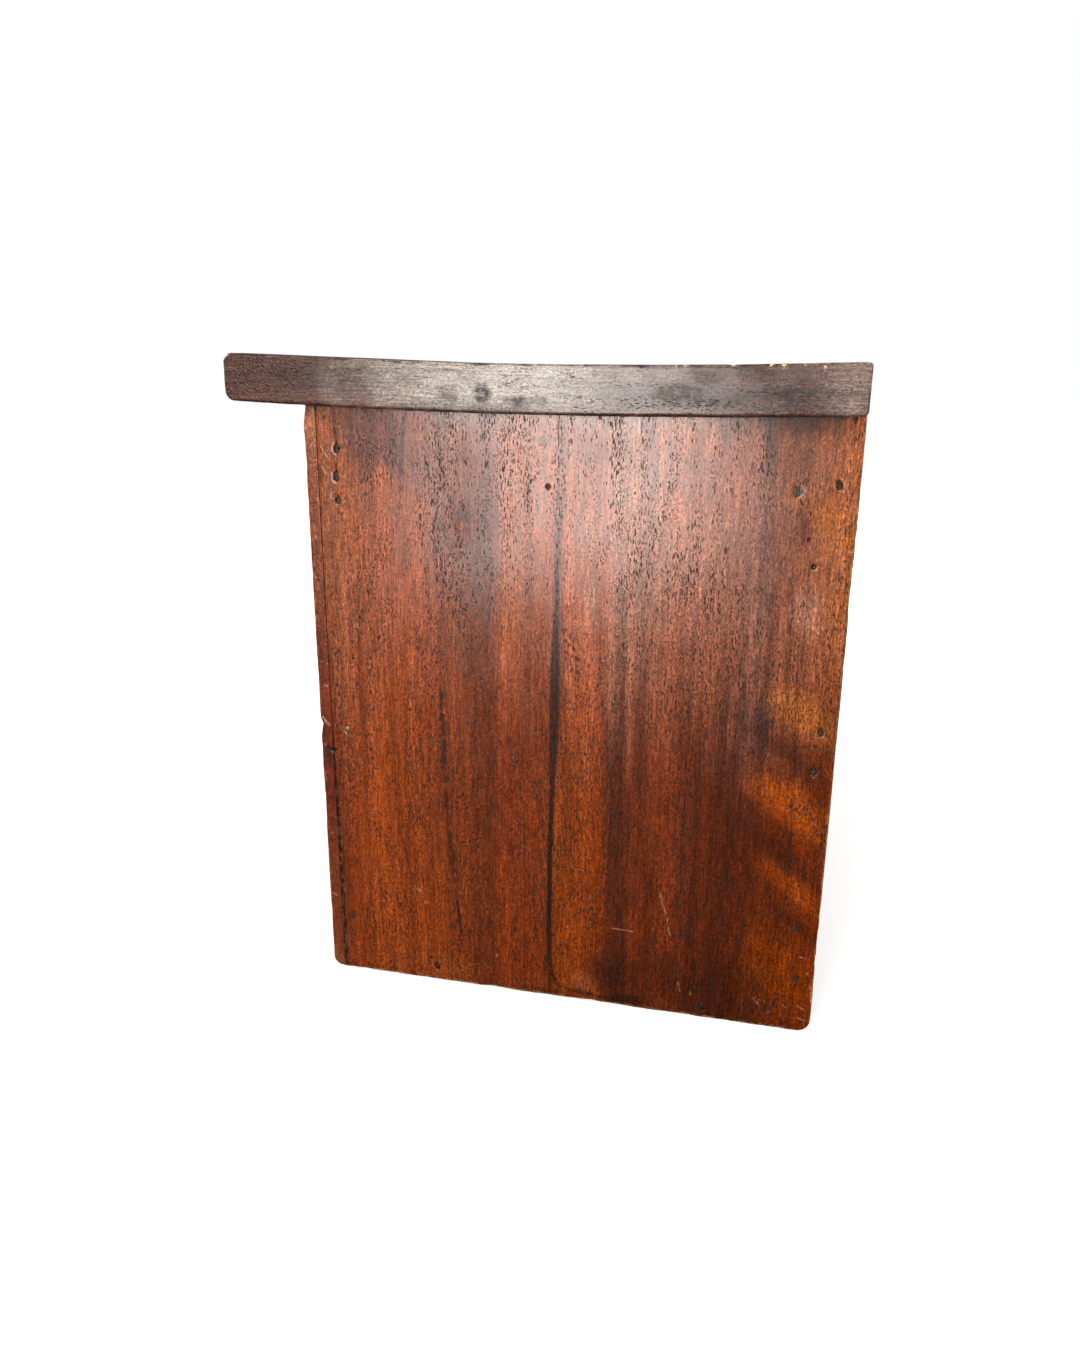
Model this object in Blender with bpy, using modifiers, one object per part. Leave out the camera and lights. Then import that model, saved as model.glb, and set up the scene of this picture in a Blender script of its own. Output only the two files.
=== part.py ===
"""A small plank-built storage chest with a hinged, cupped lid.

Every board, cleat, ledger, nail, hinge leaf, pin and screw is an object of its own. The chest stands on
z = 0 with its length along X and its front towards -Y. Lengths are in metres. The origin lies at the
middle of the closed chest's length and depth, at the level it stands on.
"""

import math

import bmesh
import bpy
from mathutils import Matrix, Vector

# Carcass sizes
carcass_length = 0.480  # over both end panels
carcass_depth = 0.300  # front board's face to back face
carcass_height = 0.354  # up to the rim
end_thickness = 0.019
front_thickness = 0.025
front_lip = 0.0075  # what the rebate leaves of the front board, lapping over an end panel
back_thickness = 0.021
bottom_thickness = 0.018
front_foot_radius = 0.0065  # worn edge under the front board
back_foot_radius = 0.008  # worn edge under the back of the ends and the bottom
arris = 0.0008  # eased edges of the boards

# Lid sizes
lid_thickness = 0.0202
lid_overhang = 0.0422  # in front of the front board
lid_front_radius = 0.004
lid_back_radius = 0.002
cup_radius = 4.2  # arc that the lid has warped to, hollow side up
cup_middle = 0.125  # from the back face to the arc's lowest line
cleat_height = 0.0257
cleat_thickness = 0.007
cleat_play = 0.001  # between a cleat and the end panel that it laps

# Ledger sizes
ledger_width = 0.015
ledger_height = 0.020
ledger_below_rim = 0.0413  # rim to the ledger's middle line

# Cut nail sizes
nail_head_width = 0.0024
nail_head_height = 0.0044
nail_head_thickness = 0.0012
nail_shank_width = 0.0018
nail_shank_height = 0.0034
nail_tip_width = 0.0009
nail_tip_height = 0.0014
nail_grip = 0.026  # length in the board behind the end panel
ledger_nail_share = 0.7  # of a ledger's width that its nails go into
sunk = 0.0015  # depth of a punched head below the surface
flush = 0.0003  # depth of a head that was left level

# Hinge sizes
hinge_from_end = 0.110  # end panel's face to the middle of a hinge
leaf_length = 0.050
leaf_width = 0.017
leaf_thickness = 0.0018
knuckle_count = 5
barrel_radius = 0.003
pin_radius = 0.0013
pin_play = 0.0002

# Screw sizes
screw_length = 0.014
screw_head_radius = 0.0026
screw_head_rim = 0.00015  # upright edge of the head
screw_shank_radius = 0.0014
screw_point_length = 0.003
screw_slot_width = 0.0006
screw_slot_depth = 0.0007
screw_from_leaf_end = 0.009  # end of a leaf to the middle of its nearest screw
screws_per_leaf = 3

# Clearances and fineness
joint_gap = 0.0003  # between pieces that meet
cutter_reach = 0.001  # how far a cutter stands out of the surface that it opens
same_place = 0.00001  # how near two points are that count as one
round_segments = 5
turned_segments = 12
barrel_segments = 20
lid_slices = 8

# Places that follow from the sizes
lid_depth = carcass_depth + lid_overhang
barrel_reach = joint_gap + 2 * barrel_radius  # hinge barrels behind the back face
back_y = (lid_depth - barrel_reach) / 2
front_y = back_y - carcass_depth
lid_front_y = back_y - lid_depth
end_x = carcass_length / 2
inner_x = end_x - end_thickness
board_end_x = inner_x - joint_gap
front_inner_y = front_y + front_thickness
back_inner_y = back_y - back_thickness
lip_y = front_y + front_lip
lid_end_x = end_x + cleat_play - joint_gap
lid_seat_z = carcass_height + joint_gap
ledger_z = carcass_height - ledger_below_rim

# Nails into the front board: height, share of the rebated thickness behind the lip, depth of the head
front_nails = (
    (carcass_height - 0.0248, 0.69, sunk),
    (carcass_height - 0.0403, 0.62, sunk),
    (carcass_height - 0.0534, 0.65, sunk),
    (0.1640, 0.57, flush),
    (0.0381, 0.47, flush),
)

# Nails into the back board: height, share of its thickness from the back face, depth of the head
back_nails = (
    (carcass_height - 0.0369, 0.51, sunk),
    (0.1861, 0.43, sunk),
    (0.1629, 0.52, sunk),
    (0.0666, 0.66, flush),
    (0.0344, 0.49, flush),
)

# Nails into the bottom board: place in front of the back face, share of its thickness, depth of the head
bottom_nails = (
    (carcass_depth - 0.0710, 0.52, sunk),
    (0.0630, 0.43, sunk),
    (0.0248, 0.68, sunk),
)

# Nails into a ledger: share of its length from the back, height above its middle line, depth of the head
ledger_nails = (
    (0.547, -0.0009, sunk),
    (0.038, 0.0008, flush),
)


def cup_rise(y):
    """How far the lid's arc has risen at y above its lowest line."""
    run = y - (back_y - cup_middle)
    return cup_radius - math.sqrt(cup_radius**2 - run**2)


# The hinge axis lies midway between the rim and the lid's underside at the back
leaf_gap = joint_gap + cup_rise(back_y)
axis_y = back_y + joint_gap + barrel_radius
axis_z = carcass_height + leaf_gap / 2
hinge_axis = Vector((0, axis_y, axis_z))

for leftover in list(bpy.data.objects):
    bpy.data.objects.remove(leftover)

chest = bpy.data.collections.new("storage_chest")
cutters = bpy.data.collections.new("cutters")
bpy.context.scene.collection.children.link(chest)
bpy.context.scene.collection.children.link(cutters)

lid_axis = bpy.data.objects.new("lid_hinge_axis", None)
lid_axis.location = hinge_axis
chest.objects.link(lid_axis)


def finish(name, colour, roughness, metallic=0.0):
    """A plain material of one colour."""
    material = bpy.data.materials.new(name)
    material.use_nodes = True
    shader = material.node_tree.nodes["Principled BSDF"]
    shader.inputs["Base Color"].default_value = (*colour, 1.0)
    shader.inputs["Roughness"].default_value = roughness
    shader.inputs["Metallic"].default_value = metallic
    return material


panel_wood = finish("panel_wood", (0.23, 0.065, 0.025), 0.38)
board_wood = finish("board_wood", (0.20, 0.060, 0.028), 0.42)
lid_wood = finish("lid_wood", (0.13, 0.050, 0.030), 0.36)
cleat_wood = finish("cleat_wood", (0.085, 0.048, 0.038), 0.35)
inner_wood = finish("inner_wood", (0.27, 0.13, 0.06), 0.60)
nail_iron = finish("nail_iron", (0.10, 0.09, 0.08), 0.55, 1.0)
hinge_brass = finish("hinge_brass", (0.50, 0.33, 0.13), 0.38, 1.0)


def place(name, mesh, collection, on_lid):
    """Puts a mesh in a collection under its name, carried by the lid's axis where it is on the lid."""
    piece = bpy.data.objects.new(name, mesh)
    collection.objects.link(piece)
    if on_lid:
        piece.parent = lid_axis
        piece.matrix_parent_inverse = Matrix.Translation(-hinge_axis)
    return piece


def mesh_of(name, form):
    """Turns a bmesh into a mesh and frees it."""
    mesh = bpy.data.meshes.new(name)
    form.to_mesh(mesh)
    form.free()
    return mesh


def new_piece(name, mesh, material, on_lid=False):
    """One piece of the chest, in one material."""
    piece = place(name, mesh, chest, on_lid)
    if not mesh.materials:
        mesh.materials.append(material)
    return piece


def new_cutter(name, mesh, on_lid=False):
    """A shape that only cuts or joins, left out of the chest itself."""
    cutter = place(name, mesh, cutters, on_lid)
    cutter.hide_render = True
    cutter.display_type = "WIRE"
    return cutter


def combine(piece, tool, operation="DIFFERENCE"):
    """Cuts a tool out of a piece, or joins it on."""
    boolean = piece.modifiers.new(tool.name, "BOOLEAN")
    boolean.operation = operation
    boolean.solver = "EXACT"
    boolean.object = tool


def baked(piece):
    """The mesh that a piece's modifiers make of it. The piece itself is removed."""
    bpy.context.view_layer.update()
    graph = bpy.context.evaluated_depsgraph_get()
    mesh = bpy.data.meshes.new_from_object(piece.evaluated_get(graph))
    bpy.data.objects.remove(piece)
    return mesh


def box(low, high):
    """A box between two opposite corners."""
    form = bmesh.new()
    low = Vector(low)
    high = Vector(high)
    size = Matrix.Diagonal((high - low).to_4d())
    bmesh.ops.create_cube(form, size=1, matrix=Matrix.Translation((low + high) / 2) @ size)
    return form


def round_edge(form, y, z, radius):
    """Rounds the edge that runs along X at y and z."""
    line = Vector((y, z))
    edges = [
        edge
        for edge in form.edges
        if all((vert.co.yz - line).length < same_place for vert in edge.verts)
    ]
    bmesh.ops.bevel(
        form,
        geom=edges,
        offset=radius,
        segments=round_segments,
        profile=0.5,
        material=-1,
        affect="EDGES",
    )


def ease(piece):
    """Takes the sharpness off a board's arrises."""
    bevel = piece.modifiers.new("eased arrises", "BEVEL")
    bevel.width = arris
    bevel.segments = 2
    bevel.limit_method = "ANGLE"


# Carcass boards

def end_panel(side, sign):
    """One end, a single board with upright grain and a worn back foot."""
    outer = sign * end_x
    inner = sign * inner_x
    low = (min(outer, inner), lip_y + joint_gap, 0)
    high = (max(outer, inner), back_y, carcass_height)
    form = box(low, high)
    round_edge(form, back_y, 0, back_foot_radius)
    panel = new_piece(f"end_panel_{side}", mesh_of(f"end_panel_{side}", form), panel_wood)
    ease(panel)
    return panel


def front_board():
    """The front, rebated at each end so that a lip laps over the end panel's edge."""
    form = box((-end_x, front_y, 0), (end_x, front_inner_y, carcass_height))
    round_edge(form, front_y, 0, front_foot_radius)
    front = new_piece("front_board", mesh_of("front_board", form), board_wood)
    for side, sign in (("right", 1), ("left", -1)):
        shoulder = sign * board_end_x
        outside = sign * (end_x + cutter_reach)
        low = (min(shoulder, outside), lip_y, -cutter_reach)
        high = (max(shoulder, outside), front_inner_y + cutter_reach, carcass_height + cutter_reach)
        rebate = new_cutter(f"front_rebate_{side}", mesh_of(f"front_rebate_{side}", box(low, high)))
        combine(front, rebate)
    ease(front)
    return front


def back_board():
    """The back, between the ends, standing on the bottom."""
    low = (-board_end_x, back_inner_y, bottom_thickness + joint_gap)
    high = (board_end_x, back_y, carcass_height)
    back = new_piece("back_board", mesh_of("back_board", box(low, high)), board_wood)
    ease(back)
    return back


def bottom_board():
    """The bottom, between the ends, from the front board to the back face."""
    low = (-board_end_x, front_inner_y + joint_gap, 0)
    high = (board_end_x, back_y, bottom_thickness)
    form = box(low, high)
    round_edge(form, back_y, 0, back_foot_radius)
    bottom = new_piece("bottom_board", mesh_of("bottom_board", form), board_wood)
    ease(bottom)
    return bottom


def tray_ledger(side, sign):
    """A strip nailed inside an end panel, level below the rim, for a tray to rest on."""
    near = sign * board_end_x
    far = sign * (board_end_x - ledger_width)
    low = (min(near, far), front_inner_y + joint_gap, ledger_z - ledger_height / 2)
    high = (max(near, far), back_inner_y - joint_gap, ledger_z + ledger_height / 2)
    ledger = new_piece(f"tray_ledger_{side}", mesh_of(f"tray_ledger_{side}", box(low, high)), inner_wood)
    ease(ledger)
    return ledger


# Lid boards

def cupped_board(low_x, high_x, thickness, seat_z):
    """A board as deep as the lid, bent to its arc, with its lowest line at seat_z."""
    form = box((low_x, lid_front_y, 0), (high_x, back_y, thickness))
    for z in (0, thickness):
        round_edge(form, lid_front_y, z, lid_front_radius)
        round_edge(form, back_y, z, lid_back_radius)
    for number in range(1, lid_slices):
        y = lid_front_y + lid_depth * number / lid_slices
        everything = form.verts[:] + form.edges[:] + form.faces[:]
        bmesh.ops.bisect_plane(form, geom=everything, plane_co=(0, y, 0), plane_no=(0, 1, 0))
    for vert in form.verts:
        vert.co.z += seat_z + cup_rise(vert.co.y)
    return form


def lid_board():
    """The lid, one wide board with its grain along the chest."""
    form = cupped_board(-lid_end_x, lid_end_x, lid_thickness, lid_seat_z)
    return new_piece("lid_board", mesh_of("lid_board", form), lid_wood, on_lid=True)


def lid_cleat(side, sign):
    """A thin strip glued over the lid board's end grain, that hangs down past the rim."""
    near = sign * (end_x + cleat_play)
    far = near + sign * cleat_thickness
    seat_z = lid_seat_z + lid_thickness - cleat_height
    form = cupped_board(min(near, far), max(near, far), cleat_height, seat_z)
    cleat = new_piece(f"lid_cleat_{side}", mesh_of(f"lid_cleat_{side}", form), cleat_wood, on_lid=True)
    ease(cleat)
    return cleat


# Nails

def extrude_to(form, face, x, width, height):
    """Extrudes a face that looks along -X to a rectangle at x, and returns the rectangle."""
    far = bmesh.ops.extrude_discrete_faces(form, faces=[face])["faces"][0]
    for vert in far.verts:
        y = math.copysign(width / 2, vert.co.y)
        z = math.copysign(height / 2, vert.co.z)
        vert.co = (x, y, z)
    return far


def cut_nail(length, grow=0.0, mouth=0.0):
    """A tapered nail lying along -X with the face of its head at x = 0. To cut its hole it grows all
    round, and its head reaches out by the mouth."""
    swell = 2 * grow
    head_half_y = nail_head_width / 2 + grow
    head_half_z = nail_head_height / 2 + grow
    neck_x = -nail_head_thickness - grow
    form = box((neck_x, -head_half_y, -head_half_z), (mouth, head_half_y, head_half_z))
    under_head = min(form.faces, key=lambda face: face.calc_center_median().x)
    neck = extrude_to(form, under_head, neck_x, nail_shank_width + swell, nail_shank_height + swell)
    extrude_to(form, neck, -length - grow, nail_tip_width + swell, nail_tip_height + swell)
    bmesh.ops.recalc_face_normals(form, faces=form.faces)
    return form


def nail_places(boards):
    """Each nail in one end: its name, y, z, the depth of its head, its length and the board it holds."""
    tongue = front_thickness - front_lip
    long_nail = end_thickness + nail_grip
    short_nail = end_thickness + ledger_nail_share * ledger_width
    ledger_length = back_inner_y - front_inner_y
    for number, (z, share, depth) in enumerate(front_nails, 1):
        yield f"front_{number}", lip_y + share * tongue, z, depth, long_nail, boards["front"]
    for number, (z, share, depth) in enumerate(back_nails, 1):
        yield f"back_{number}", back_y - share * back_thickness, z, depth, long_nail, boards["back"]
    for number, (run, share, depth) in enumerate(bottom_nails, 1):
        yield f"bottom_{number}", back_y - run, share * bottom_thickness, depth, long_nail, boards["bottom"]
    for number, (share, rise, depth) in enumerate(ledger_nails, 1):
        y = back_inner_y - share * ledger_length
        yield f"ledger_{number}", y, ledger_z + rise, depth, short_nail, boards["ledger"]


def nail_end(side, sign, panel, boards):
    """Drives the nails of one end through its panel into the boards behind it."""
    for name, y, z, depth, length, board in nail_places(boards):
        spot = (sign * (end_x - depth), y, z)
        turn = (0, 0, 0 if sign > 0 else math.pi)
        nail_name = f"nail_{side}_{name}"
        nail = new_piece(nail_name, mesh_of(nail_name, cut_nail(length)), nail_iron)
        hole_form = cut_nail(length, joint_gap, depth + cutter_reach)
        hole = new_cutter(f"hole_{side}_{name}", mesh_of(f"hole_{side}_{name}", hole_form))
        for thing in (nail, hole):
            thing.location = spot
            thing.rotation_euler = turn
        combine(panel, hole)
        combine(board, hole)


# Hinges

def cylinder_along_x(low_x, high_x, radius, segments):
    """A cylinder round the X axis between two places on it."""
    form = bmesh.new()
    turn = Matrix.Rotation(math.pi / 2, 4, "Y")
    bmesh.ops.create_cone(
        form,
        cap_ends=True,
        segments=segments,
        radius1=radius,
        radius2=radius,
        depth=high_x - low_x,
        matrix=Matrix.Translation(((low_x + high_x) / 2, 0, 0)) @ turn,
    )
    return form


def smooth(mesh):
    """Shades a turned piece smooth, with its corners left sharp."""
    mesh.shade_smooth()
    mesh.set_sharp_from_angle(angle=math.radians(35))


def turned(name, profile):
    """A mesh turned round Z from points (radius, z) that run down its outer side."""
    form = bmesh.new()
    verts = [form.verts.new((radius, 0, z)) for radius, z in profile]
    for upper, lower in zip(verts, verts[1:]):
        form.edges.new((upper, lower))
    blank = new_cutter(name, mesh_of(name, form))
    lathe = blank.modifiers.new("lathe", "SCREW")
    lathe.steps = turned_segments
    lathe.render_steps = turned_segments
    lathe.use_merge_vertices = True
    lathe.merge_threshold = same_place
    return blank


def screw_profile(grow=0.0, mouth=0.0):
    """A countersunk screw's outline from the middle of its head down to its point."""
    head = screw_head_radius + grow
    shank = screw_shank_radius + grow
    cone_bottom = -screw_head_rim - (head - shank)
    end = -screw_length - grow
    return (
        (0, mouth),
        (head, mouth),
        (head, -screw_head_rim),
        (shank, cone_bottom),
        (shank, end + screw_point_length),
        (0, end),
    )


def screw_mesh():
    """A countersunk wood screw with a straight slot across its head."""
    blank = turned("screw", screw_profile())
    half = screw_slot_width / 2
    across = screw_head_radius + cutter_reach
    slot_form = box((-across, -half, -screw_slot_depth), (across, half, cutter_reach))
    slot = new_cutter("screw_slot", mesh_of("screw_slot", slot_form))
    combine(blank, slot)
    mesh = baked(blank)
    bpy.data.objects.remove(slot)
    smooth(mesh)
    return mesh


def screw_spots():
    """Where a leaf's screws lie, from the middle of its hinge's axis."""
    y = -joint_gap - barrel_radius - leaf_width / 2
    first_x = screw_from_leaf_end - leaf_length / 2
    pitch = (leaf_length - 2 * screw_from_leaf_end) / (screws_per_leaf - 1)
    for number in range(screws_per_leaf):
        yield Vector((first_x + number * pitch, y, 0))


def leaf_mesh(name, owned, up):
    """A leaf round its hinge's axis with the knuckles that it owns, its plate above the axis if up is 1
    and below it if up is -1."""
    half_length = leaf_length / 2
    knuckle_length = leaf_length / knuckle_count
    near_z = up * leaf_gap / 2
    far_z = near_z + up * leaf_thickness
    front = -joint_gap - barrel_radius - leaf_width
    plate = box(
        (-half_length, front, min(near_z, far_z)),
        (half_length, 0, max(near_z, far_z)),
    )
    leaf = new_cutter(name, mesh_of(name, plate))
    tools = []
    for number in range(knuckle_count):
        low = -half_length + number * knuckle_length
        high = low + knuckle_length
        if number in owned:
            if number > 0:
                low += joint_gap / 2
            if number < knuckle_count - 1:
                high -= joint_gap / 2
            form = cylinder_along_x(low, high, barrel_radius, barrel_segments)
            operation = "UNION"
        else:
            reach = barrel_radius + joint_gap
            low -= joint_gap / 2 if number > 0 else cutter_reach
            high += joint_gap / 2 if number < knuckle_count - 1 else cutter_reach
            form = box((low, -reach, -reach), (high, reach, reach))
            operation = "DIFFERENCE"
        tool = new_cutter(f"{name}_knuckle_{number}", mesh_of(f"{name}_knuckle_{number}", form))
        combine(leaf, tool, operation)
        tools.append(tool)
    bore_form = cylinder_along_x(
        -half_length - cutter_reach, half_length + cutter_reach, pin_radius + pin_play, turned_segments
    )
    bore = new_cutter(f"{name}_bore", mesh_of(f"{name}_bore", bore_form))
    combine(leaf, bore)
    tools.append(bore)
    for number, spot in enumerate(screw_spots()):
        hole = turned(f"{name}_hole_{number}", screw_profile(joint_gap, cutter_reach))
        hole.location = spot + Vector((0, 0, near_z))
        hole.rotation_euler.x = math.pi if up > 0 else 0
        combine(leaf, hole)
        tools.append(hole)
    mesh = baked(leaf)
    for tool in tools:
        bpy.data.objects.remove(tool)
    smooth(mesh)
    return mesh


def fit_hinge(side, sign, meshes, back, lid):
    """One hinge: a leaf let into the back board, a leaf let into the lid, their screws and the pin."""
    middle = Vector((sign * (end_x - hinge_from_end), axis_y, axis_z))
    half_length = leaf_length / 2 + joint_gap
    leaf_front_y = back_y - leaf_width - joint_gap
    for level, up, board, on_lid in (("lower", -1, back, False), ("upper", 1, lid, True)):
        name = f"hinge_{side}_{level}_leaf"
        leaf = new_piece(name, meshes[level], hinge_brass, on_lid)
        leaf.location = middle
        near_z = axis_z + up * (leaf_gap / 2 - cutter_reach)
        far_z = axis_z + up * (leaf_gap / 2 + leaf_thickness + joint_gap)
        low = (middle.x - half_length, leaf_front_y, min(near_z, far_z))
        high = (middle.x + half_length, back_y + cutter_reach, max(near_z, far_z))
        recess = new_cutter(f"{name}_recess", mesh_of(f"{name}_recess", box(low, high)), on_lid)
        combine(board, recess)
        for number, spot in enumerate(screw_spots(), 1):
            screw = new_piece(f"screw_{side}_{level}_{number}", meshes["screw"], hinge_brass, on_lid)
            hole_name = f"pilot_{side}_{level}_{number}"
            hole = turned(hole_name, screw_profile(joint_gap, cutter_reach))
            if on_lid:
                hole.parent = lid_axis
                hole.matrix_parent_inverse = Matrix.Translation(-hinge_axis)
            for thing in (screw, hole):
                thing.location = middle + spot + Vector((0, 0, up * leaf_gap / 2))
                thing.rotation_euler.x = math.pi if up > 0 else 0
            combine(board, hole)
    pin_form = cylinder_along_x(-leaf_length / 2, leaf_length / 2, pin_radius, turned_segments)
    pin_mesh = mesh_of(f"hinge_{side}_pin", pin_form)
    smooth(pin_mesh)
    pin = new_piece(f"hinge_{side}_pin", pin_mesh, hinge_brass)
    pin.location = middle


# The chest

front = front_board()
back = back_board()
bottom = bottom_board()
lid = lid_board()
hinge_meshes = {
    "lower": leaf_mesh("lower_leaf", range(0, knuckle_count, 2), -1),
    "upper": leaf_mesh("upper_leaf", range(1, knuckle_count, 2), 1),
    "screw": screw_mesh(),
}
for side, sign in (("right", 1), ("left", -1)):
    panel = end_panel(side, sign)
    ledger = tray_ledger(side, sign)
    lid_cleat(side, sign)
    nail_end(side, sign, panel, {"front": front, "back": back, "bottom": bottom, "ledger": ledger})
    fit_hinge(side, sign, hinge_meshes, back, lid)
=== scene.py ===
"""The looks of a small plank-built storage chest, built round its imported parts, in metres.

The chest stands on z = 0 with its length along X and its front towards -Y. The photographed end is +X.
"""

import itertools
import math

import bmesh
import bpy
from mathutils import Matrix, Vector, noise


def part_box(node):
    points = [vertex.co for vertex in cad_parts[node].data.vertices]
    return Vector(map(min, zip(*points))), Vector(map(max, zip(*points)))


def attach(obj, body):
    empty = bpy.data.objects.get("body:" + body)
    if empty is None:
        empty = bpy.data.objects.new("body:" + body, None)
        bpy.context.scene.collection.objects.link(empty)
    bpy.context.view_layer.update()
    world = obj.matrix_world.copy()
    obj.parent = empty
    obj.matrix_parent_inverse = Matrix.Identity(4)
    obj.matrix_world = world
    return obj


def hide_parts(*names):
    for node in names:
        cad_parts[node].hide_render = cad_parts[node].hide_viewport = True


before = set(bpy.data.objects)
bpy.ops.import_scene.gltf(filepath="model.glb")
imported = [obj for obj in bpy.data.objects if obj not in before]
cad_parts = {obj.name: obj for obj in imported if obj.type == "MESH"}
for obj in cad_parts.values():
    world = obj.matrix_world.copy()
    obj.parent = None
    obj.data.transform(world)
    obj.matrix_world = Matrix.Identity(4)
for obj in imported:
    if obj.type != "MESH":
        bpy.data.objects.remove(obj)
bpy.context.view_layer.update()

scene = bpy.context.scene
scene.view_settings.view_transform = "Standard"

# The camera: hand-held near the chest's right end, level with the lid and turned a little to the front

eye = Vector((0.7727, 0.12925, 0.3696))
eye_right = Vector((-0.23016, 0.97313, 0.00647)).normalized()
eye_down = Vector((0.27596, 0.07164, -0.95850))
eye_back = eye_down.cross(eye_right).normalized()
eye_up = eye_back.cross(eye_right)
lens = 27.01
sensor = 36.0

camera_data = bpy.data.cameras.new("camera")
camera_data.lens = lens
camera_data.sensor_width = sensor
camera = bpy.data.objects.new("camera", camera_data)
camera.matrix_world = Matrix.Translation(eye) @ Matrix((eye_right, eye_up, eye_back)).transposed().to_4x4()
scene.collection.objects.link(camera)
scene.camera = camera


# The studio: a plain pale floor, one soft window-like light behind the camera's left shoulder, and
# weaker soft lights round the other sides

floor_half = 9.0
floor_colour = (0.86, 0.86, 0.86, 1)
floor_bounce = (0.03, 0.025, 0.02, 1)  # what the floor throws back at the chest


def feed(tree, made, inputs):
    """Feeds a node's inputs with plain values or with other outputs."""
    for name, value in inputs.items():
        socket = made.inputs[name]
        if isinstance(value, bpy.types.NodeSocket):
            tree.links.new(value, socket)
        else:
            socket.default_value = value


def node(tree, kind, inputs=None, **settings):
    """Adds a node, sets it up and feeds it."""
    made = tree.nodes.new("ShaderNode" + kind)
    for name, value in settings.items():
        setattr(made, name, value)
    feed(tree, made, inputs or {})
    return made


def new_material(name):
    """An empty node material with its output and its main shader."""
    material = bpy.data.materials.new(name)
    material.use_nodes = True
    return material, material.node_tree, material.node_tree.nodes["Principled BSDF"]


def add_piece(name, form, material, body=None, smooth=True):
    """Turns a bmesh into an object at the origin, in one material, riding on a body."""
    mesh = bpy.data.meshes.new(name)
    form.to_mesh(mesh)
    form.free()
    if smooth:
        mesh.shade_smooth()
    mesh.materials.append(material)
    piece = bpy.data.objects.new(name, mesh)
    scene.collection.objects.link(piece)
    if body:
        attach(piece, body)
    return piece


floor_material, floor_tree, floor_shader = new_material("studio_floor")
seen = node(floor_tree, "LightPath").outputs["Is Camera Ray"]
floor_tone = node(floor_tree, "MixRGB", {"Fac": seen, "Color1": floor_bounce, "Color2": floor_colour})
floor_place = node(floor_tree, "TexCoord").outputs["Object"]
floor_far = node(floor_tree, "VectorMath", {0: floor_place}, operation="LENGTH").outputs["Value"]
glow_range = {"From Min": 0.25, "From Max": 2.2, "To Min": 0.46, "To Max": 1.0}
floor_glow = node(floor_tree, "MapRange", {"Value": floor_far, **glow_range}).outputs[0]
floor_seen = node(floor_tree, "Math", {0: floor_glow, 1: seen}, operation="MULTIPLY").outputs[0]
feed(floor_tree, floor_shader, {
    "Base Color": floor_tone.outputs[0], "Roughness": 0.9, "Specular IOR Level": 0.1,
    "Emission Color": (1, 1, 1, 1), "Emission Strength": floor_seen,
})
floor_form = bmesh.new()
bmesh.ops.create_grid(floor_form, x_segments=2, y_segments=2, size=floor_half)
floor = add_piece("studio_floor", floor_form, floor_material)


def softbox(name, place, target, width, height, power, colour=(1, 1, 1)):
    """A soft rectangular light aimed at a point."""
    data = bpy.data.lights.new(name, "AREA")
    data.shape = "RECTANGLE"
    data.size = width
    data.size_y = height
    data.energy = power
    data.color = colour
    light = bpy.data.objects.new(name, data)
    aim = Vector(target) - Vector(place)
    light.matrix_world = Matrix.Translation(place) @ aim.to_track_quat("-Z", "Y").to_matrix().to_4x4()
    scene.collection.objects.link(light)
    return light


softbox("window_light", (1.15, -0.16, 0.41), (0.24, -0.02, 0.40), 0.43, 0.63, 7.3, (1.0, 0.975, 0.935))
softbox("fill_light", (1.2, -0.3, 1.6), (0.24, -0.02, 0.25), 0.6, 0.6, 9)
softbox("overhead_light", (0.0, 0.0, 2.3), (0, 0, 0), 2.0, 2.0, 22)
softbox("front_light", (-0.5, -2.0, 1.1), (0, 0, 0.2), 1.4, 1.0, 26)
softbox("far_end_light", (-2.1, 0.5, 1.0), (0, 0, 0.2), 1.2, 1.0, 22)
softbox("back_light", (0.3, 2.1, 1.0), (0, 0, 0.2), 1.4, 1.0, 24)

world = bpy.data.worlds.new("studio")
scene.world = world
world.use_nodes = True
sky_tree = world.node_tree
sky_seen = node(sky_tree, "LightPath").outputs["Is Camera Ray"]
sky_strength = node(sky_tree, "MapRange", {"Value": sky_seen, "To Min": 0.03, "To Max": 1.0})
sky = {"Strength": sky_strength.outputs[0], "Color": (1, 1, 1, 1)}
feed(sky_tree, sky_tree.nodes["Background"], sky)


# The right end panel: one board of mahogany with upright grain, planed, stained and shellacked, then
# rubbed and knocked for a long time. It is nailed to the front, the back, the bottom and a ledger, and
# every nail left a hole or a filled pit in its face

panel_low, panel_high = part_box("end_panel_right")
panel_cell = Vector((0.02, 0.0035, 0.0035))
arris_width = 0.0009
arris_segments = 2
foot_radius = 0.008  # worn edge under the back of the ends and the bottom
foot_segments = 5
dish = 0.0003  # how uneven the faces are
rub = 0.0006  # how far the arrises have been rubbed away


def board_form(low, high):
    """A plain board between two corners."""
    form = bmesh.new()
    size = Matrix.Diagonal((high - low).to_4d())
    bmesh.ops.create_cube(form, size=1, matrix=Matrix.Translation((low + high) / 2) @ size)
    return form


def round_edges(form, edges, width, segments):
    """Rounds a few edges of a board."""
    bmesh.ops.bevel(
        form,
        geom=edges,
        offset=width,
        segments=segments,
        profile=0.5,
        material=-1,
        affect="EDGES",
    )


# How near two places are that count as one
same_place = 0.00002


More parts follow.
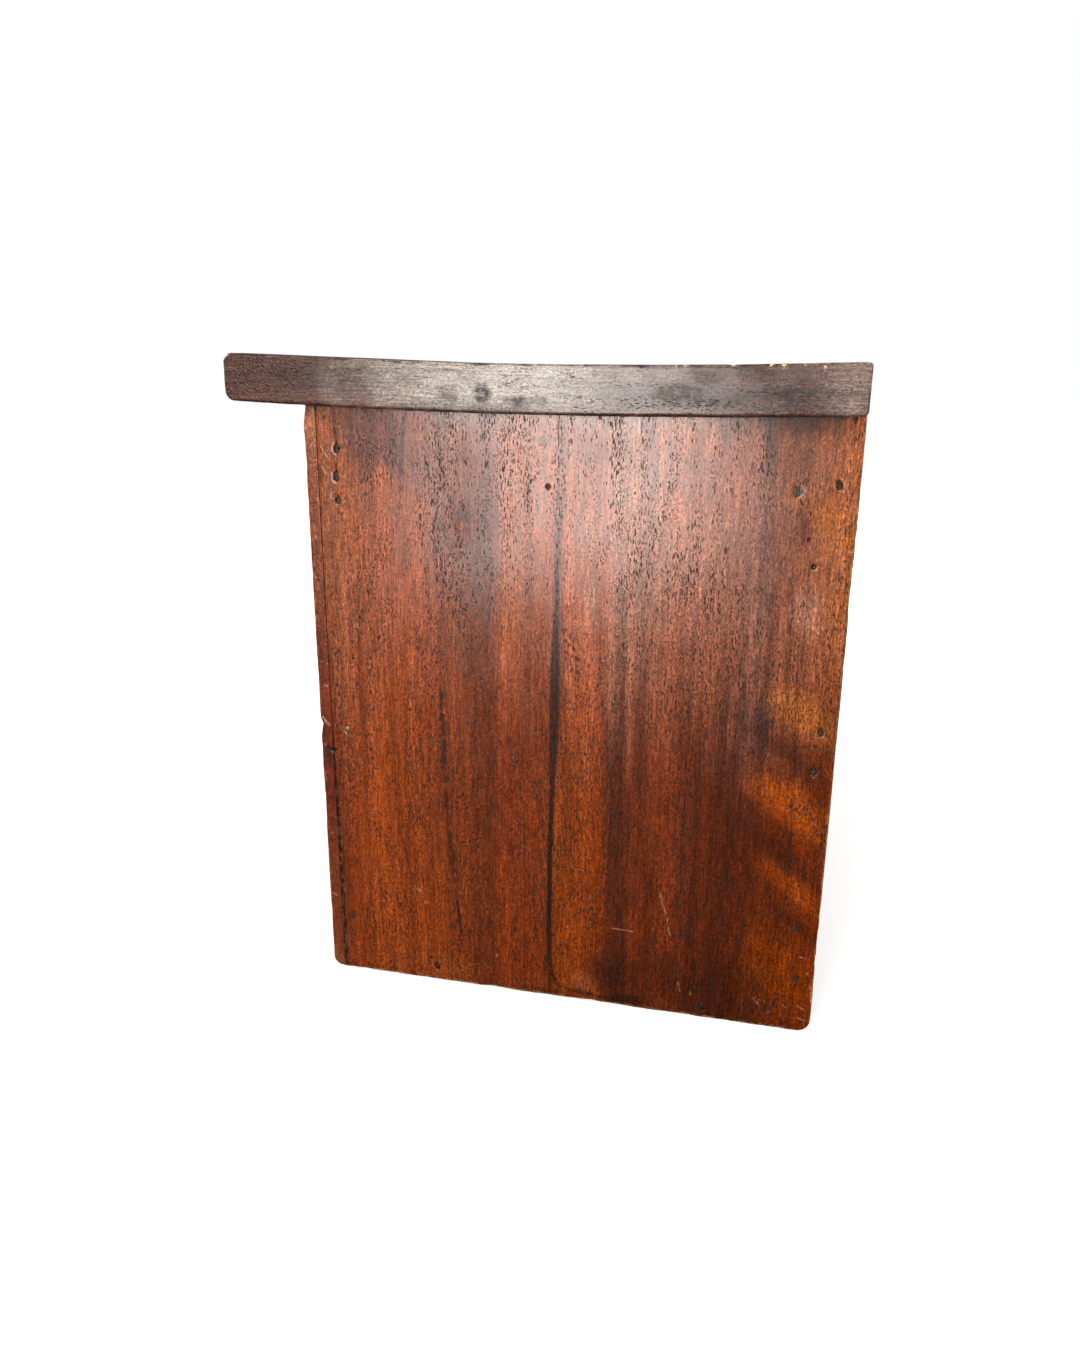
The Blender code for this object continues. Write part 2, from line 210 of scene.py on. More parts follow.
def edges_at(form, **places):
    """The edges that lie at a place on each axis named, such as y=0.1."""
    wanted = [("xyz".index(axis), value) for axis, value in places.items()]
    return [
        edge
        for edge in form.edges
        if all(abs(vert.co[axis] - value) < same_place for vert in edge.verts for axis, value in wanted)
    ]


def sharp_edges(form):
    """The edges where a board turns a corner."""
    return [edge for edge in form.edges if edge.calc_face_angle(0) > math.radians(50)]


def cut_across(form, axis, place):
    """Cuts every face that crosses a place on an axis."""
    normal = Vector((0, 0, 0))
    normal[axis] = 1
    everything = form.verts[:] + form.edges[:] + form.faces[:]
    bmesh.ops.bisect_plane(form, geom=everything, dist=same_place, plane_co=normal * place, plane_no=normal)


def cut_cells(form, low, high, cell):
    """Divides a board into even cells, with narrow ones beside its arrises, so that it can be worn."""
    for axis in range(3):
        length = high[axis] - low[axis]
        count = max(1, round(length / cell[axis]))
        for number in range(1, count):
            cut_across(form, axis, low[axis] + length * number / count)
        if count > 2:
            for margin in (0.0021, 0.0047):
                cut_across(form, axis, low[axis] + margin)
                cut_across(form, axis, high[axis] - margin)


def refine(form, centre, radius, rounds):
    """Divides the cells round a point into finer ones, in smaller and smaller rings."""
    for number in range(rounds):
        reach = radius * (1 - 0.22 * number)
        edges = {
            edge
            for face in form.faces
            if (face.calc_center_median() - centre).length < reach
            for edge in face.edges
        }
        bmesh.ops.subdivide_edges(form, edges=list(edges), cuts=1, use_grid_fill=True)


def weather(form, low, high, dish, rub, seed):
    """Makes the faces uneven by up to dish, and rubs the arrises away by up to rub, all inwards. A side
    that lies in a joint is spared by giving a corner beyond it."""
    depth = 0.006
    reach = 0.004
    for vert in form.verts:
        place = vert.co + Vector((seed, seed * 0.37, -seed * 0.71))
        sides = []
        for axis in range(3):
            sides.append((axis, 1, vert.co[axis] - low[axis]))
            sides.append((axis, -1, high[axis] - vert.co[axis]))
        move = Vector((0, 0, 0))
        for axis, way, gap in sides:
            if gap < depth:
                swell = noise.noise(place * 9 + Vector((5 * axis, 3 * way, 0)))
                ripple = noise.noise(place * 34 + Vector((0, 5 * axis, 3 * way)))
                move[axis] += way * dish * (0.5 + 0.42 * swell + 0.14 * ripple) * (1 - gap / depth)
        for (axis, way, gap), (other, other_way, other_gap) in itertools.combinations(sides, 2):
            if axis != other and gap < reach and other_gap < reach:
                wear = 0.45 + 0.9 * noise.noise(place * 45) + 0.6 * noise.noise(place * 170)
                share = max(0.0, wear) ** 1.5 * (1 - gap / reach) * (1 - other_gap / reach)
                move[axis] += way * rub * share
                move[other] += other_way * rub * share
        vert.co += move


def press(form, centre, radii, inward, depth, ragged=0.0):
    """Presses the surface inwards round a point, within an ellipsoid of these radii."""
    for vert in form.verts:
        away = vert.co - centre
        far = math.sqrt(sum((away[axis] / radii[axis]) ** 2 for axis in range(3)))
        far += ragged * noise.noise(vert.co * 900)
        if far < 1:
            vert.co += inward * depth * (1 - far * far) ** 2


def pit(form, centre, radii, inward, depth, ragged):
    """Sinks a hole with steep sides and an even floor, its mouth softly pulled in, and marks where its dirt
    and painted shade go.
    """
    layers = form.verts.layers.float
    soil_and_shade = layers.get("soil_and_shade") or layers.new("soil_and_shade")
    wall = 0.3  # share of the hole that its sloping sides take
    rim = 0.12  # share of it over which its dirt and painted shade fade
    mouth = 0.9  # how far outside it the surface is pulled in, as a share of its radius
    for vert in form.verts:
        away = vert.co - centre
        far = math.sqrt(sum((away[axis] / radii[axis]) ** 2 for axis in range(3)))
        far += ragged * noise.noise(vert.co * 700 + centre * 90)
        if far < 1:
            vert.co += inward * depth * min(1.0, (1 - far) / wall)
            vert[soil_and_shade] = min(1.0, (1 - far) / rim)
        elif far < 1 + mouth:
            vert.co += inward * 0.0006 * ragged * ((1 + mouth - far) / mouth) ** 2


# Each hole in the right end: its nail, half width, half height, depth and raggedness
hole_marks = (
    ("nail_right_front_1", 0.0019, 0.0026, 0.0021, 0.35),
    ("nail_right_front_2", 0.0017, 0.0029, 0.0021, 0.35),
    ("nail_right_front_3", 0.0016, 0.0025, 0.0021, 0.35),
    ("nail_right_front_4", 0.0023, 0.0025, 0.0008, 0.20),
    ("nail_right_front_5", 0.0015, 0.0025, 0.0006, 0.30),
    ("nail_right_back_1", 0.0016, 0.0027, 0.0021, 0.30),
    ("nail_right_back_2", 0.0016, 0.0026, 0.0018, 0.30),
    ("nail_right_back_3", 0.0015, 0.0025, 0.0018, 0.30),
    ("nail_right_back_4", 0.0016, 0.0026, 0.0006, 0.30),
    ("nail_right_back_5", 0.0015, 0.0025, 0.0006, 0.30),
    ("nail_right_bottom_1", 0.0018, 0.0030, 0.0017, 0.25),
    ("nail_right_bottom_2", 0.0020, 0.0031, 0.0017, 0.25),
    ("nail_right_bottom_3", 0.0015, 0.0026, 0.0017, 0.25),
    ("nail_right_ledger_1", 0.0012, 0.0014, 0.0021, 0.05),
    ("nail_right_ledger_2", 0.0024, 0.0027, 0.0006, 0.15),
)


def nail_mouth(name, x):
    """Where the middle of a nail meets the face at x."""
    low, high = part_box(name)
    return Vector((x, (low.y + high.y) / 2, (low.z + high.z) / 2))


def new_group(name, vectors, numbers, results):
    """A shader node group with named sockets. Gives back its tree, what it is given and its last node."""
    tree = bpy.data.node_groups.new(name, "ShaderNodeTree")
    for socket in vectors:
        tree.interface.new_socket(socket, in_out="INPUT", socket_type="NodeSocketVector")
    for socket, value in numbers.items():
        made = tree.interface.new_socket(socket, in_out="INPUT", socket_type="NodeSocketFloat")
        made.default_value = value
    for socket in results:
        tree.interface.new_socket(socket, in_out="OUTPUT", socket_type="NodeSocketFloat")
    return tree, tree.nodes.new("NodeGroupInput").outputs, tree.nodes.new("NodeGroupOutput")


def use(tree, group, inputs, output=0):
    """Puts a group into a tree and gives one of its outputs."""
    return node(tree, "Group", inputs, node_tree=group).outputs[output]


def held(tree, value, low=0.0, high=1.0):
    """Holds a value between two limits. Each clamp is a node of its own, made in its place, since the clamp
    option of other nodes is added last when rendering, which keeps too many values waiting."""
    return node(tree, "Clamp", {"Value": value, "Min": low, "Max": high}, clamp_type="RANGE").outputs[0]


def step(kind):
    """A function that adds one step of arithmetic of this kind to a tree."""

    def add(tree, first, second=0.0):
        return node(tree, "Math", {0: first, 1: second}, operation=kind).outputs[0]

    return add


plus, minus, times, over = step("ADD"), step("SUBTRACT"), step("MULTIPLY"), step("DIVIDE")
most, least, unsigned = step("MAXIMUM"), step("MINIMUM"), step("ABSOLUTE")


def vector_sum(tree, kind, first, second=(0, 0, 0)):
    """One step of arithmetic with vectors."""
    made = node(tree, "VectorMath", {0: first, 1: second}, operation=kind)
    return made.outputs["Value" if kind in ("LENGTH", "DOT_PRODUCT", "DISTANCE") else "Vector"]


def spread(tree, value, low, high, to_low=0.0, to_high=1.0, soft=True):
    """Stretches a range of a value to another, softly at its ends or else evenly."""
    made = node(
        tree,
        "MapRange",
        {"Value": value, "From Min": low, "From Max": high, "To Min": to_low, "To Max": to_high},
        interpolation_type="SMOOTHSTEP" if soft else "LINEAR",
        clamp=False,
    ).outputs[0]
    return made if soft else held(tree, made, to_low, to_high)


def blend(tree, share, first, second, kind="MIX"):
    """Mixes two colours."""
    return node(
        tree, "MixRGB", {"Fac": share, "Color1": first, "Color2": second}, blend_type=kind
    ).outputs[0]


def clouds(tree, vector, scale, detail=2.0, rough=0.5, offset=(0, 0, 0)):
    """Noise at a scale of its own along each axis, from about 0 to 1."""
    placed = node(tree, "Mapping", {"Vector": vector, "Location": offset, "Scale": scale}).outputs[0]
    return node(
        tree, "TexNoise", {"Vector": placed, "Scale": 1.0, "Detail": detail, "Roughness": rough}
    ).outputs["Fac"]


def paint(red, green, blue):
    """A colour given on the usual 0 to 255 scale of a paint chart."""
    values = []
    for value in (red, green, blue):
        share = value / 255
        values.append(share / 12.92 if share <= 0.04045 else ((share + 0.055) / 1.055) ** 2.4)
    return (*values, 1.0)


def colour_ramp(tree, value, stops):
    """A colour for each value: stops are pairs of a place from 0 to 1 and a colour."""
    made = node(tree, "ValToRGB", {"Fac": value})
    elements = made.color_ramp.elements
    while len(elements) < len(stops):
        elements.new(0.5)
    for element, (place, colour) in zip(elements, sorted(stops)):
        element.position = place
        element.color = colour
    return made.outputs["Color"]


# Pores: the open vessels of mahogany, which show as short dark dashes along the grain, which is Z here
pores_group, given, result = new_group(
    "wood_pores", ["Vector"], {"Across": 1000.0, "Along": 300.0, "Size": 0.3}, ["Pores"]
)
cell_scale = node(
    pores_group, "CombineXYZ", {0: given["Across"], 1: given["Across"], 2: given["Along"]}
).outputs[0]
cells = node(
    pores_group,
    "TexVoronoi",
    {"Vector": vector_sum(pores_group, "MULTIPLY", given["Vector"], cell_scale), "Scale": 1.0},
)
chance = node(pores_group, "SeparateColor", {0: cells.outputs["Color"]}).outputs[0]
crowded = clouds(pores_group, given["Vector"], (48, 48, 9), 3.0, 0.6)
crowded = spread(pores_group, crowded, 0.35, 0.65, -0.20, 0.22)
chance = plus(pores_group, chance, crowded)
reach = times(pores_group, given["Size"], spread(pores_group, chance, 0.15, 1.0, 0.0, 1.2, False))
core = times(pores_group, reach, 0.70)
depth = spread(pores_group, cells.outputs["Distance"], reach, core)
pores_group.links.new(depth, result.inputs["Pores"])

# Fibre: the streaks along the grain, broad stripes and fine threads
fibre_group, given, result = new_group("wood_fibre", ["Vector"], {}, ["Stripe", "Thread"])
stripe = clouds(fibre_group, given["Vector"], (140, 140, 5), 4.0, 0.62)
thread = clouds(fibre_group, given["Vector"], (1000, 1000, 75), 2.0, 0.6, (3, 1, 2))
fibre_group.links.new(stripe, result.inputs["Stripe"])
fibre_group.links.new(thread, result.inputs["Thread"])

# Arris wear: how near a point of a board is to one of its edges, broken up as rubbing leaves it
wear_group, given, result = new_group("arris_wear", ["Vector", "Low", "High"], {"Width": 0.002}, ["Wear"])
from_low = vector_sum(wear_group, "SUBTRACT", given["Vector"], given["Low"])
from_high = vector_sum(wear_group, "SUBTRACT", given["High"], given["Vector"])
gaps = node(wear_group, "SeparateXYZ", {0: vector_sum(wear_group, "MINIMUM", from_low, from_high)}).outputs
smaller = least(wear_group, gaps[0], gaps[1])
larger = most(wear_group, gaps[0], gaps[1])
to_edge = most(wear_group, smaller, least(wear_group, larger, gaps[2]))
patchy = clouds(wear_group, given["Vector"], (90, 90, 90), 4.0, 0.7)
patchy = spread(wear_group, patchy, 0.35, 0.75, 0.15, 1.6, False)
edge_band = times(wear_group, given["Width"], patchy)
worn = spread(wear_group, to_edge, edge_band, times(wear_group, edge_band, 0.35))
wear_group.links.new(worn, result.inputs["Wear"])

# A scratch: a thin broken line between two points of the surface
scratch_group, given, result = new_group(
    "scratch", ["Vector", "From", "To"], {"Width": 0.0005, "Bend": 0.001}, ["Scratch"]
)
unevenness = node(
    scratch_group, "TexNoise", {"Vector": given["Vector"], "Scale": 130.0, "Detail": 3.0}
)
sway = vector_sum(scratch_group, "SUBTRACT", unevenness.outputs["Color"], (0.5, 0.5, 0.5))
bend = node(scratch_group, "VectorMath", {0: sway, "Scale": given["Bend"]}, operation="SCALE").outputs[0]
point = vector_sum(scratch_group, "ADD", given["Vector"], bend)
line = vector_sum(scratch_group, "SUBTRACT", given["To"], given["From"])
away = vector_sum(scratch_group, "SUBTRACT", point, given["From"])
dot = vector_sum(scratch_group, "DOT_PRODUCT", away, line)
along = over(scratch_group, dot, vector_sum(scratch_group, "DOT_PRODUCT", line, line))
along = held(scratch_group, along)
foot = node(scratch_group, "VectorMath", {0: line, "Scale": along}, operation="SCALE").outputs[0]
gap = vector_sum(scratch_group, "DISTANCE", away, foot)
broken = spread(scratch_group, unevenness.outputs["Fac"], 0.34, 0.52, 0.55, 1.6)
half_width = times(scratch_group, given["Width"], broken)
drawn = spread(scratch_group, gap, half_width, 0.0)
scratch_group.links.new(drawn, result.inputs["Scratch"])

# How far a patch reaches into the board
patch_depth = 0.1

# A patch: a soft-edged stain or bloom round a point, as wide as its size says along each axis
patch_group, given, result = new_group("patch", ["Vector", "Centre", "Size"], {"Ragged": 0.5}, ["Patch"])
away = vector_sum(patch_group, "SUBTRACT", given["Vector"], given["Centre"])
shape = vector_sum(patch_group, "DIVIDE", away, given["Size"])
torn = clouds(patch_group, given["Vector"], (60, 60, 38), 4.0, 0.62)
torn = times(patch_group, minus(patch_group, torn, 0.5), given["Ragged"])
far = plus(patch_group, vector_sum(patch_group, "LENGTH", shape), torn)
patch_group.links.new(spread(patch_group, far, 1.0, 0.2), result.inputs["Patch"])


def patch(tree, vector, centre, half_size, ragged):
    """How deep points lie in a patch: its centre in x, y and z and its half size in y and z."""
    size = (patch_depth, *half_size)
    return use(tree, patch_group, {"Vector": vector, "Centre": centre, "Size": size, "Ragged": ragged})


def scratch(tree, vector, x, start, end, width, bend=0.001):
    """How deep points lie in a scratch: the face's x and the scratch's ends in y and z."""
    ends = {"From": (x, *start), "To": (x, *end)}
    return use(tree, scratch_group, {"Vector": vector, **ends, "Width": width, "Bend": bend})


def soiled_and_shaded(tree, colour):
    """Blackens the holes, which pit has marked on the mesh itself: dirt, with painted shade in their depths.
    """
    soil_and_shade = node(tree, "Attribute", attribute_name="soil_and_shade").outputs["Fac"]
    return blend(tree, times(tree, soil_and_shade, 0.93), colour, soot)


def timber(name, low, high, grain, seed):
    """Starts a wood material: its coordinates, its grain and the wear of its arrises. The grain is the
    axis that the board's fibres follow."""
    material, tree, shader = new_material(name)
    place = node(tree, "TexCoord").outputs["Object"]
    turn = {"X": (0, math.pi / 2, 0), "Y": (math.pi / 2, 0, 0), "Z": (0, 0, 0)}[grain]
    turned = node(
        tree, "Mapping", {"Vector": place, "Location": (seed, seed * 0.6, seed * 0.3), "Rotation": turn}
    ).outputs[0]
    lean = clouds(tree, turned, (11, 11, 2.2), 2.0, 0.5)
    wander = times(tree, minus(tree, lean, 0.5), 0.02)
    shift = node(tree, "CombineXYZ", {0: wander, 1: wander}).outputs[0]
    fibres = vector_sum(tree, "ADD", turned, shift)
    fibre = node(tree, "Group", {"Vector": fibres}, node_tree=fibre_group).outputs
    return material, tree, shader, {
        "place": place,
        "fibres": fibres,
        "wander": wander,
        "stripe": fibre["Stripe"],
        "thread": fibre["Thread"],
        "wear": use(tree, wear_group, {"Vector": place, "Low": low, "High": high}),
    }


# How much of the grain's contrast goes where a board is calm
calm_share = 0.78


def finish_wood(
    tree, shader, wood, colour, roughness, polish, relief, scar,
    coat_roughness=0.28, pore_tone=0.07, calm=None,
):
    """Lays fibre and pores over a wood colour, and gives it its sheen and its relief. Where calm says so
    the wood is clean, and its pores hold no dark polish."""
    large = use(tree, pores_group, {"Vector": wood["fibres"], "Across": 1250.0, "Along": 270.0, "Size": 0.39})
    small = use(tree, pores_group, {"Vector": wood["fibres"], "Across": 1800.0, "Along": 560.0, "Size": 0.41})
    pores = most(tree, large, times(tree, small, 0.75))
    stripes = spread(tree, wood["stripe"], 0.32, 0.68, 0.68, 1.28, False)
    threads = spread(tree, wood["thread"], 0.34, 0.66, 0.60, 1.28, False)
    fine = clouds(tree, wood["fibres"], (640, 640, 380), 2.0, 0.6)
    grit = clouds(tree, wood["fibres"], (1150, 1150, 760), 1.0, 0.5, (1, 2, 3))
    value = times(tree, stripes, threads)
    value = times(tree, value, spread(tree, fine, 0.30, 0.70, 0.68, 1.28, False))
    value = times(tree, value, spread(tree, grit, 0.25, 0.75, 0.50, 1.52, False))
    value = times(tree, value, spread(tree, pores, 0, 1, 1.0, pore_tone, False))
    if calm is not None:
        plain = plus(tree, times(tree, times(tree, stripes, threads), 0.5), 0.38)
        value = times(tree, value, minus(tree, 1.0, times(tree, calm, calm_share)))
        value = plus(tree, value, times(tree, times(tree, calm, calm_share), plain))
    shade = node(tree, "CombineXYZ", {0: value, 1: value, 2: value}).outputs[0]
    colour = blend(tree, 1.0, colour, shade, "MULTIPLY")
    hazed = clouds(tree, wood["place"], (42, 42, 30), 4.0, 0.65, (1, 5, 2))
    sheen = plus(tree, roughness, spread(tree, hazed, 0.3, 0.7, -0.05, 0.07, False))
    sheen = held(tree, plus(tree, sheen, times(tree, pores, 0.42)))
    shellac = times(tree, polish, spread(tree, pores, 0, 1, 1.0, 0.0, False))
    height = times(tree, pores, -1.0)
    height = plus(tree, height, times(tree, wood["thread"], 0.2))
    height = plus(tree, height, times(tree, grit, 0.05))
    height = minus(tree, height, scar)
    bump = node(tree, "Bump", {"Strength": 1.0, "Distance": relief, "Height": height}).outputs["Normal"]
    feed(tree, shader, {
        "Base Color": colour, "Roughness": sheen, "Coat Weight": shellac, "Coat Roughness": coat_roughness,
        "Normal": bump,
    })


# The right panel's colours across its width, from the front edge to the back, low and high up. The high ones
# are paler and pinker partly as painted sheen of the window light on the upper panel
wood_low = (
    (0.00, paint(134, 58, 26)), (0.10, paint(164, 72, 23)), (0.22, paint(160, 70, 22)),
    (0.25, paint(132, 56, 20)), (0.28, paint(144, 62, 22)), (0.345, paint(106, 45, 19)),
    (0.37, paint(142, 58, 19)), (0.455, paint(144, 59, 19)), (0.475, paint(160, 70, 14)),
    (0.565, paint(154, 64, 10)), (0.59, paint(103, 41, 12)), (0.63, paint(121, 50, 19)),
    (0.70, paint(138, 56, 19)), (0.79, paint(98, 38, 12)), (0.83, paint(94, 35, 12)),
    (0.87, paint(106, 41, 7)), (0.90, paint(116, 44, 2)), (1.00, paint(138, 52, 1)),
)
wood_high_with_sheen = (
    (0.00, paint(174, 98, 60)), (0.10, paint(172, 88, 50)), (0.22, paint(162, 77, 40)),
    (0.25, paint(142, 68, 36)), (0.28, paint(142, 70, 36)), (0.345, paint(138, 64, 34)),
    (0.37, paint(180, 90, 48)), (0.455, paint(164, 80, 42)), (0.475, paint(184, 96, 56)),
    (0.565, paint(182, 92, 54)), (0.59, paint(170, 107, 82)), (0.63, paint(186, 110, 78)),
    (0.70, paint(184, 102, 68)), (0.79, paint(174, 96, 64)), (0.83, paint(174, 106, 82)),
    (0.87, paint(166, 94, 64)), (0.93, paint(158, 88, 54)), (1.00, paint(194, 108, 60)),
)
umber = paint(70, 34, 20)
smoke = paint(84, 54, 52)
soot = paint(20, 16, 14)
bare_edge = paint(190, 140, 96)
dry_wood = paint(168, 118, 74)

jointed_low = panel_low - Vector((0, 0.02, 0))  # beyond the front edge, which its joint keeps from wear
panel_wood, tree, shader, wood = timber("panel_wood", jointed_low, panel_high, "Z", 0.0)
px, py, pz = node(tree, "SeparateXYZ", {0: wood["place"]}).outputs[:]
drift = clouds(tree, wood["place"], (7, 9, 2.6), 3.0, 0.55)
drift = times(tree, minus(tree, drift, 0.5), 0.012)
across = plus(tree, py, drift)
share = spread(tree, across, panel_low.y, panel_high.y, 0, 1, False)
# Towards the top the colour blends into the high ones, which carry painted sheen
height_mix = plus(tree, pz, times(tree, minus(tree, wood["stripe"], 0.5), 0.12))
upper = spread(tree, height_mix, 0.13, 0.26)
colour = blend(tree, upper, colour_ramp(tree, share, wood_low), colour_ramp(tree, share, wood_high_with_sheen))

# Ribbons of figure that lean across the grain near the back edge, amber ones with dark ones between:
# centre in y and z, half width, half length, colour and strength
lean = math.radians(52)
amber_light = paint(196, 108, 44)
amber_deep = paint(190, 84, 4)
amber_dark = paint(150, 62, 0)
shadow_brown = paint(78, 30, 12)
ribbon_marks = (
    ((0.1500, 0.0340), 0.0230, 0.042, amber_dark, 0.60),
    ((0.1580, 0.2950), 0.0110, 0.038, amber_light, 0.70),
    ((0.1640, 0.2520), 0.0070, 0.016, amber_light, 0.45),
    ((0.1441, 0.1720), 0.0070, 0.030, shadow_brown, 0.60),
    ((0.1402, 0.1148), 0.0080, 0.034, shadow_brown, 0.70),
    ((0.1520, 0.0720), 0.0050, 0.020, shadow_brown, 0.55),
    ((0.1476, 0.1960), 0.0110, 0.032, amber_light, 0.75),
    ((0.1465, 0.1420), 0.0115, 0.036, amber_deep, 0.90),
    ((0.1520, 0.0925), 0.0080, 0.028, amber_deep, 0.45),
)
leaning = node(tree, "Mapping", {"Vector": wood["place"], "Rotation": (-lean, 0, 0)}).outputs[0]
for (y, z), half_width, half_length, tone, strength in ribbon_marks:
    centre = Matrix.Rotation(-lean, 3, "X") @ Vector((panel_high.x, y, z))
    mask = patch(tree, leaning, centre, (half_width * 1.3, half_length * 1.2), 0.7)
    colour = blend(tree, times(tree, mask, strength), colour, tone)

# Hazes, stains and painted light: centre and half size in y and z, colour and strength. Along the top, under
# the lid strip, are painted shade and painted sheen
stains_and_painted_light = (
    ((-0.082, 0.334), (0.030, 0.022), smoke, 0.55),
    ((-0.036, 0.290), (0.026, 0.050), smoke, 0.35),
    ((-0.040, 0.296), (0.007, 0.006), umber, 0.60),
    ((0.030, 0.330), (0.040, 0.012), smoke, 0.30),
    ((0.118, 0.270), (0.022, 0.060), smoke, 0.25),
    ((0.126, 0.185), (0.014, 0.050), smoke, 0.40),
    # Darker along the bottom towards the back
    ((0.058, 0.005), (0.024, 0.006), soot, 0.75),
    ((0.010, 0.002), (0.030, 0.005), umber, 0.60),
    ((0.050, 0.024), (0.022, 0.026), umber, 0.85),
    ((0.085, 0.020), (0.070, 0.040), paint(66, 22, 4), 0.45),
    # Painted shade: two umber bands along the top, under the lid strip's overhang
    ((0.120, 0.354), (0.055, 0.018), umber, 0.60),
    ((-0.100, 0.352), (0.034, 0.012), umber, 0.50),
    ((-0.070, 0.318), (0.014, 0.020), smoke, 0.50),
    ((0.147, 0.252), (0.0120, 0.020), paint(214, 150, 124), 0.40),
    ((0.052, 0.110), (0.010, 0.090), umber, 0.30),
    ((0.080, 0.320), (0.030, 0.022), smoke, 0.25),
    ((0.005, 0.336), (0.010, 0.003), umber, 0.70),
    ((0.1420, 0.296), (0.0065, 0.016), paint(112, 38, 16), 0.75),
    ((0.1230, 0.335), (0.0060, 0.020), smoke, 0.60),
    # Painted shade under the lid strip's overhang at the back corner
    ((0.1400, 0.352), (0.0240, 0.018), umber, 0.70),
    # Painted sheen: two pale pinkish-grey bands along the top, where the window light reflects
    ((0.0450, 0.348), (0.0600, 0.012), paint(214, 190, 180), 0.28),
    ((-0.0350, 0.350), (0.0500, 0.014), paint(200, 176, 166), 0.20),
    ((0.0330, 0.012), (0.0110, 0.012), paint(176, 94, 54), 0.60),
    ((-0.0600, 0.010), (0.0420, 0.016), paint(166, 84, 40), 0.40),
    # Small near-black marks just under the lid strip
    ((0.0315, 0.3530), (0.0080, 0.0022), soot, 0.95),
    ((0.1035, 0.3515), (0.0020, 0.0024), soot, 0.95),
    ((0.1620, 0.3500), (0.0024, 0.0040), umber, 0.90),
    ((0.1300, 0.3525), (0.0016, 0.0020), soot, 0.80),
    ((-0.050, 0.110), (0.006, 0.080), umber, 0.30),
    ((-0.097, 0.334), (0.026, 0.030), smoke, 0.40),
    ((0.0330, 0.250), (0.0070, 0.022), paint(208, 150, 124), 0.40),
)
for middle, half_size, stain, strength in stains_and_painted_light:
    mask = patch(tree, wood["place"], (panel_high.x, *middle), half_size, 1.1)
    colour = blend(tree, times(tree, mask, strength), colour, stain)

# The mineral streak that runs down the middle: its place, half width and strength at each height
streak_way = node(tree, "FloatCurve", {"Value": over(tree, pz, panel_high.z)})
streak_curve = streak_way.mapping.curves[0]
for point, (x, y) in zip(streak_curve.points, ((0.0, 0.50), (1.0, 0.92))):
    point.location = (x, y)
for x, y in ((0.045, 0.36), (0.20, 0.30), (0.45, 0.44), (0.62, 0.50), (0.78, 0.58), (0.93, 0.78)):
    streak_curve.points.new(x, y)
streak_way.mapping.update()
streak_y = spread(tree, streak_way.outputs[0], 0, 1, 0.008, 0.018, False)
off_line = unsigned(tree, minus(tree, py, streak_y))
grainy = clouds(tree, wood["place"], (700, 700, 150), 3.0, 0.7)
off_line = plus(tree, off_line, times(tree, minus(tree, grainy, 0.5), 0.0026))
thin, thick = 0.0022, 0.0044
bulge = unsigned(tree, minus(tree, pz, 0.192))
bulge = spread(tree, bulge, 0.060, 0.0, thin, thick)
streak = spread(tree, off_line, bulge, times(tree, bulge, 0.35))
streak = times(tree, streak, spread(tree, pz, 0.34, 0.27, 0.20, 0.95))
dotted = spread(tree, clouds(tree, wood["place"], (1100, 1100, 260), 2.0, 0.6, (5, 2, 0)), 0.44, 0.56)
dotted = most(tree, dotted, spread(tree, pz, 0.29, 0.21))
streak = times(tree, streak, dotted)
streak = times(tree, streak, spread(tree, pz, 0.004, 0.05, 0.35, 1.0))
colour = blend(tree, streak, colour, soot)
halo = spread(tree, off_line, 0.0050, 0.0)
halo = times(tree, halo, spread(tree, bulge, thin, thick, 0.35, 0.70))
colour = blend(tree, halo, colour, umber)

# Thin dark lines along the grain: ends in y and z, width and strength
dark_lines = (
    ((-0.0546, 0.195), (-0.0526, 0.121), 0.0015, 0.95),
    ((-0.0526, 0.121), (-0.0450, 0.030), 0.0014, 0.85),
    ((-0.0711, 0.351), (-0.0757, 0.313), 0.0013, 1.0),
    ((-0.1130, 0.3385), (-0.1119, 0.3310), 0.0009, 0.95),
    ((-0.1141, 0.3205), (-0.1136, 0.3150), 0.0009, 0.95),
    ((-0.1129, 0.2990), (-0.1127, 0.2935), 0.0008, 0.90),
    ((-0.0190, 0.290), (-0.0230, 0.100), 0.0008, 0.40),
    ((-0.0420, 0.300), (-0.0480, 0.220), 0.0008, 0.35),
    ((0.0420, 0.190), (0.0560, 0.040), 0.0010, 0.45),
    ((0.0560, 0.270), (0.0600, 0.150), 0.0008, 0.35),
    ((0.0760, 0.200), (0.0740, 0.060), 0.0007, 0.40),
    ((0.0900, 0.230), (0.0880, 0.100), 0.0007, 0.35),
    ((0.1210, 0.330), (0.1230, 0.210), 0.0009, 0.40),
    ((0.0108, 0.0300), (0.0125, 0.0148), 0.0016, 0.90),
    ((0.0125, 0.0148), (0.0180, 0.0075), 0.0016, 0.90),
    ((0.0180, 0.0075), (0.0450, 0.0040), 0.0016, 0.85),
    ((0.0395, 0.0600), (0.0420, 0.0080), 0.0011, 0.75),
    ((0.0550, 0.0550), (0.0570, 0.0100), 0.0011, 0.75),
)
for start, end, width, strength in dark_lines:
    mask = scratch(tree, wood["place"], panel_high.x, start, end, width, 0.004)
    colour = blend(tree, times(tree, mask, strength), colour, umber)

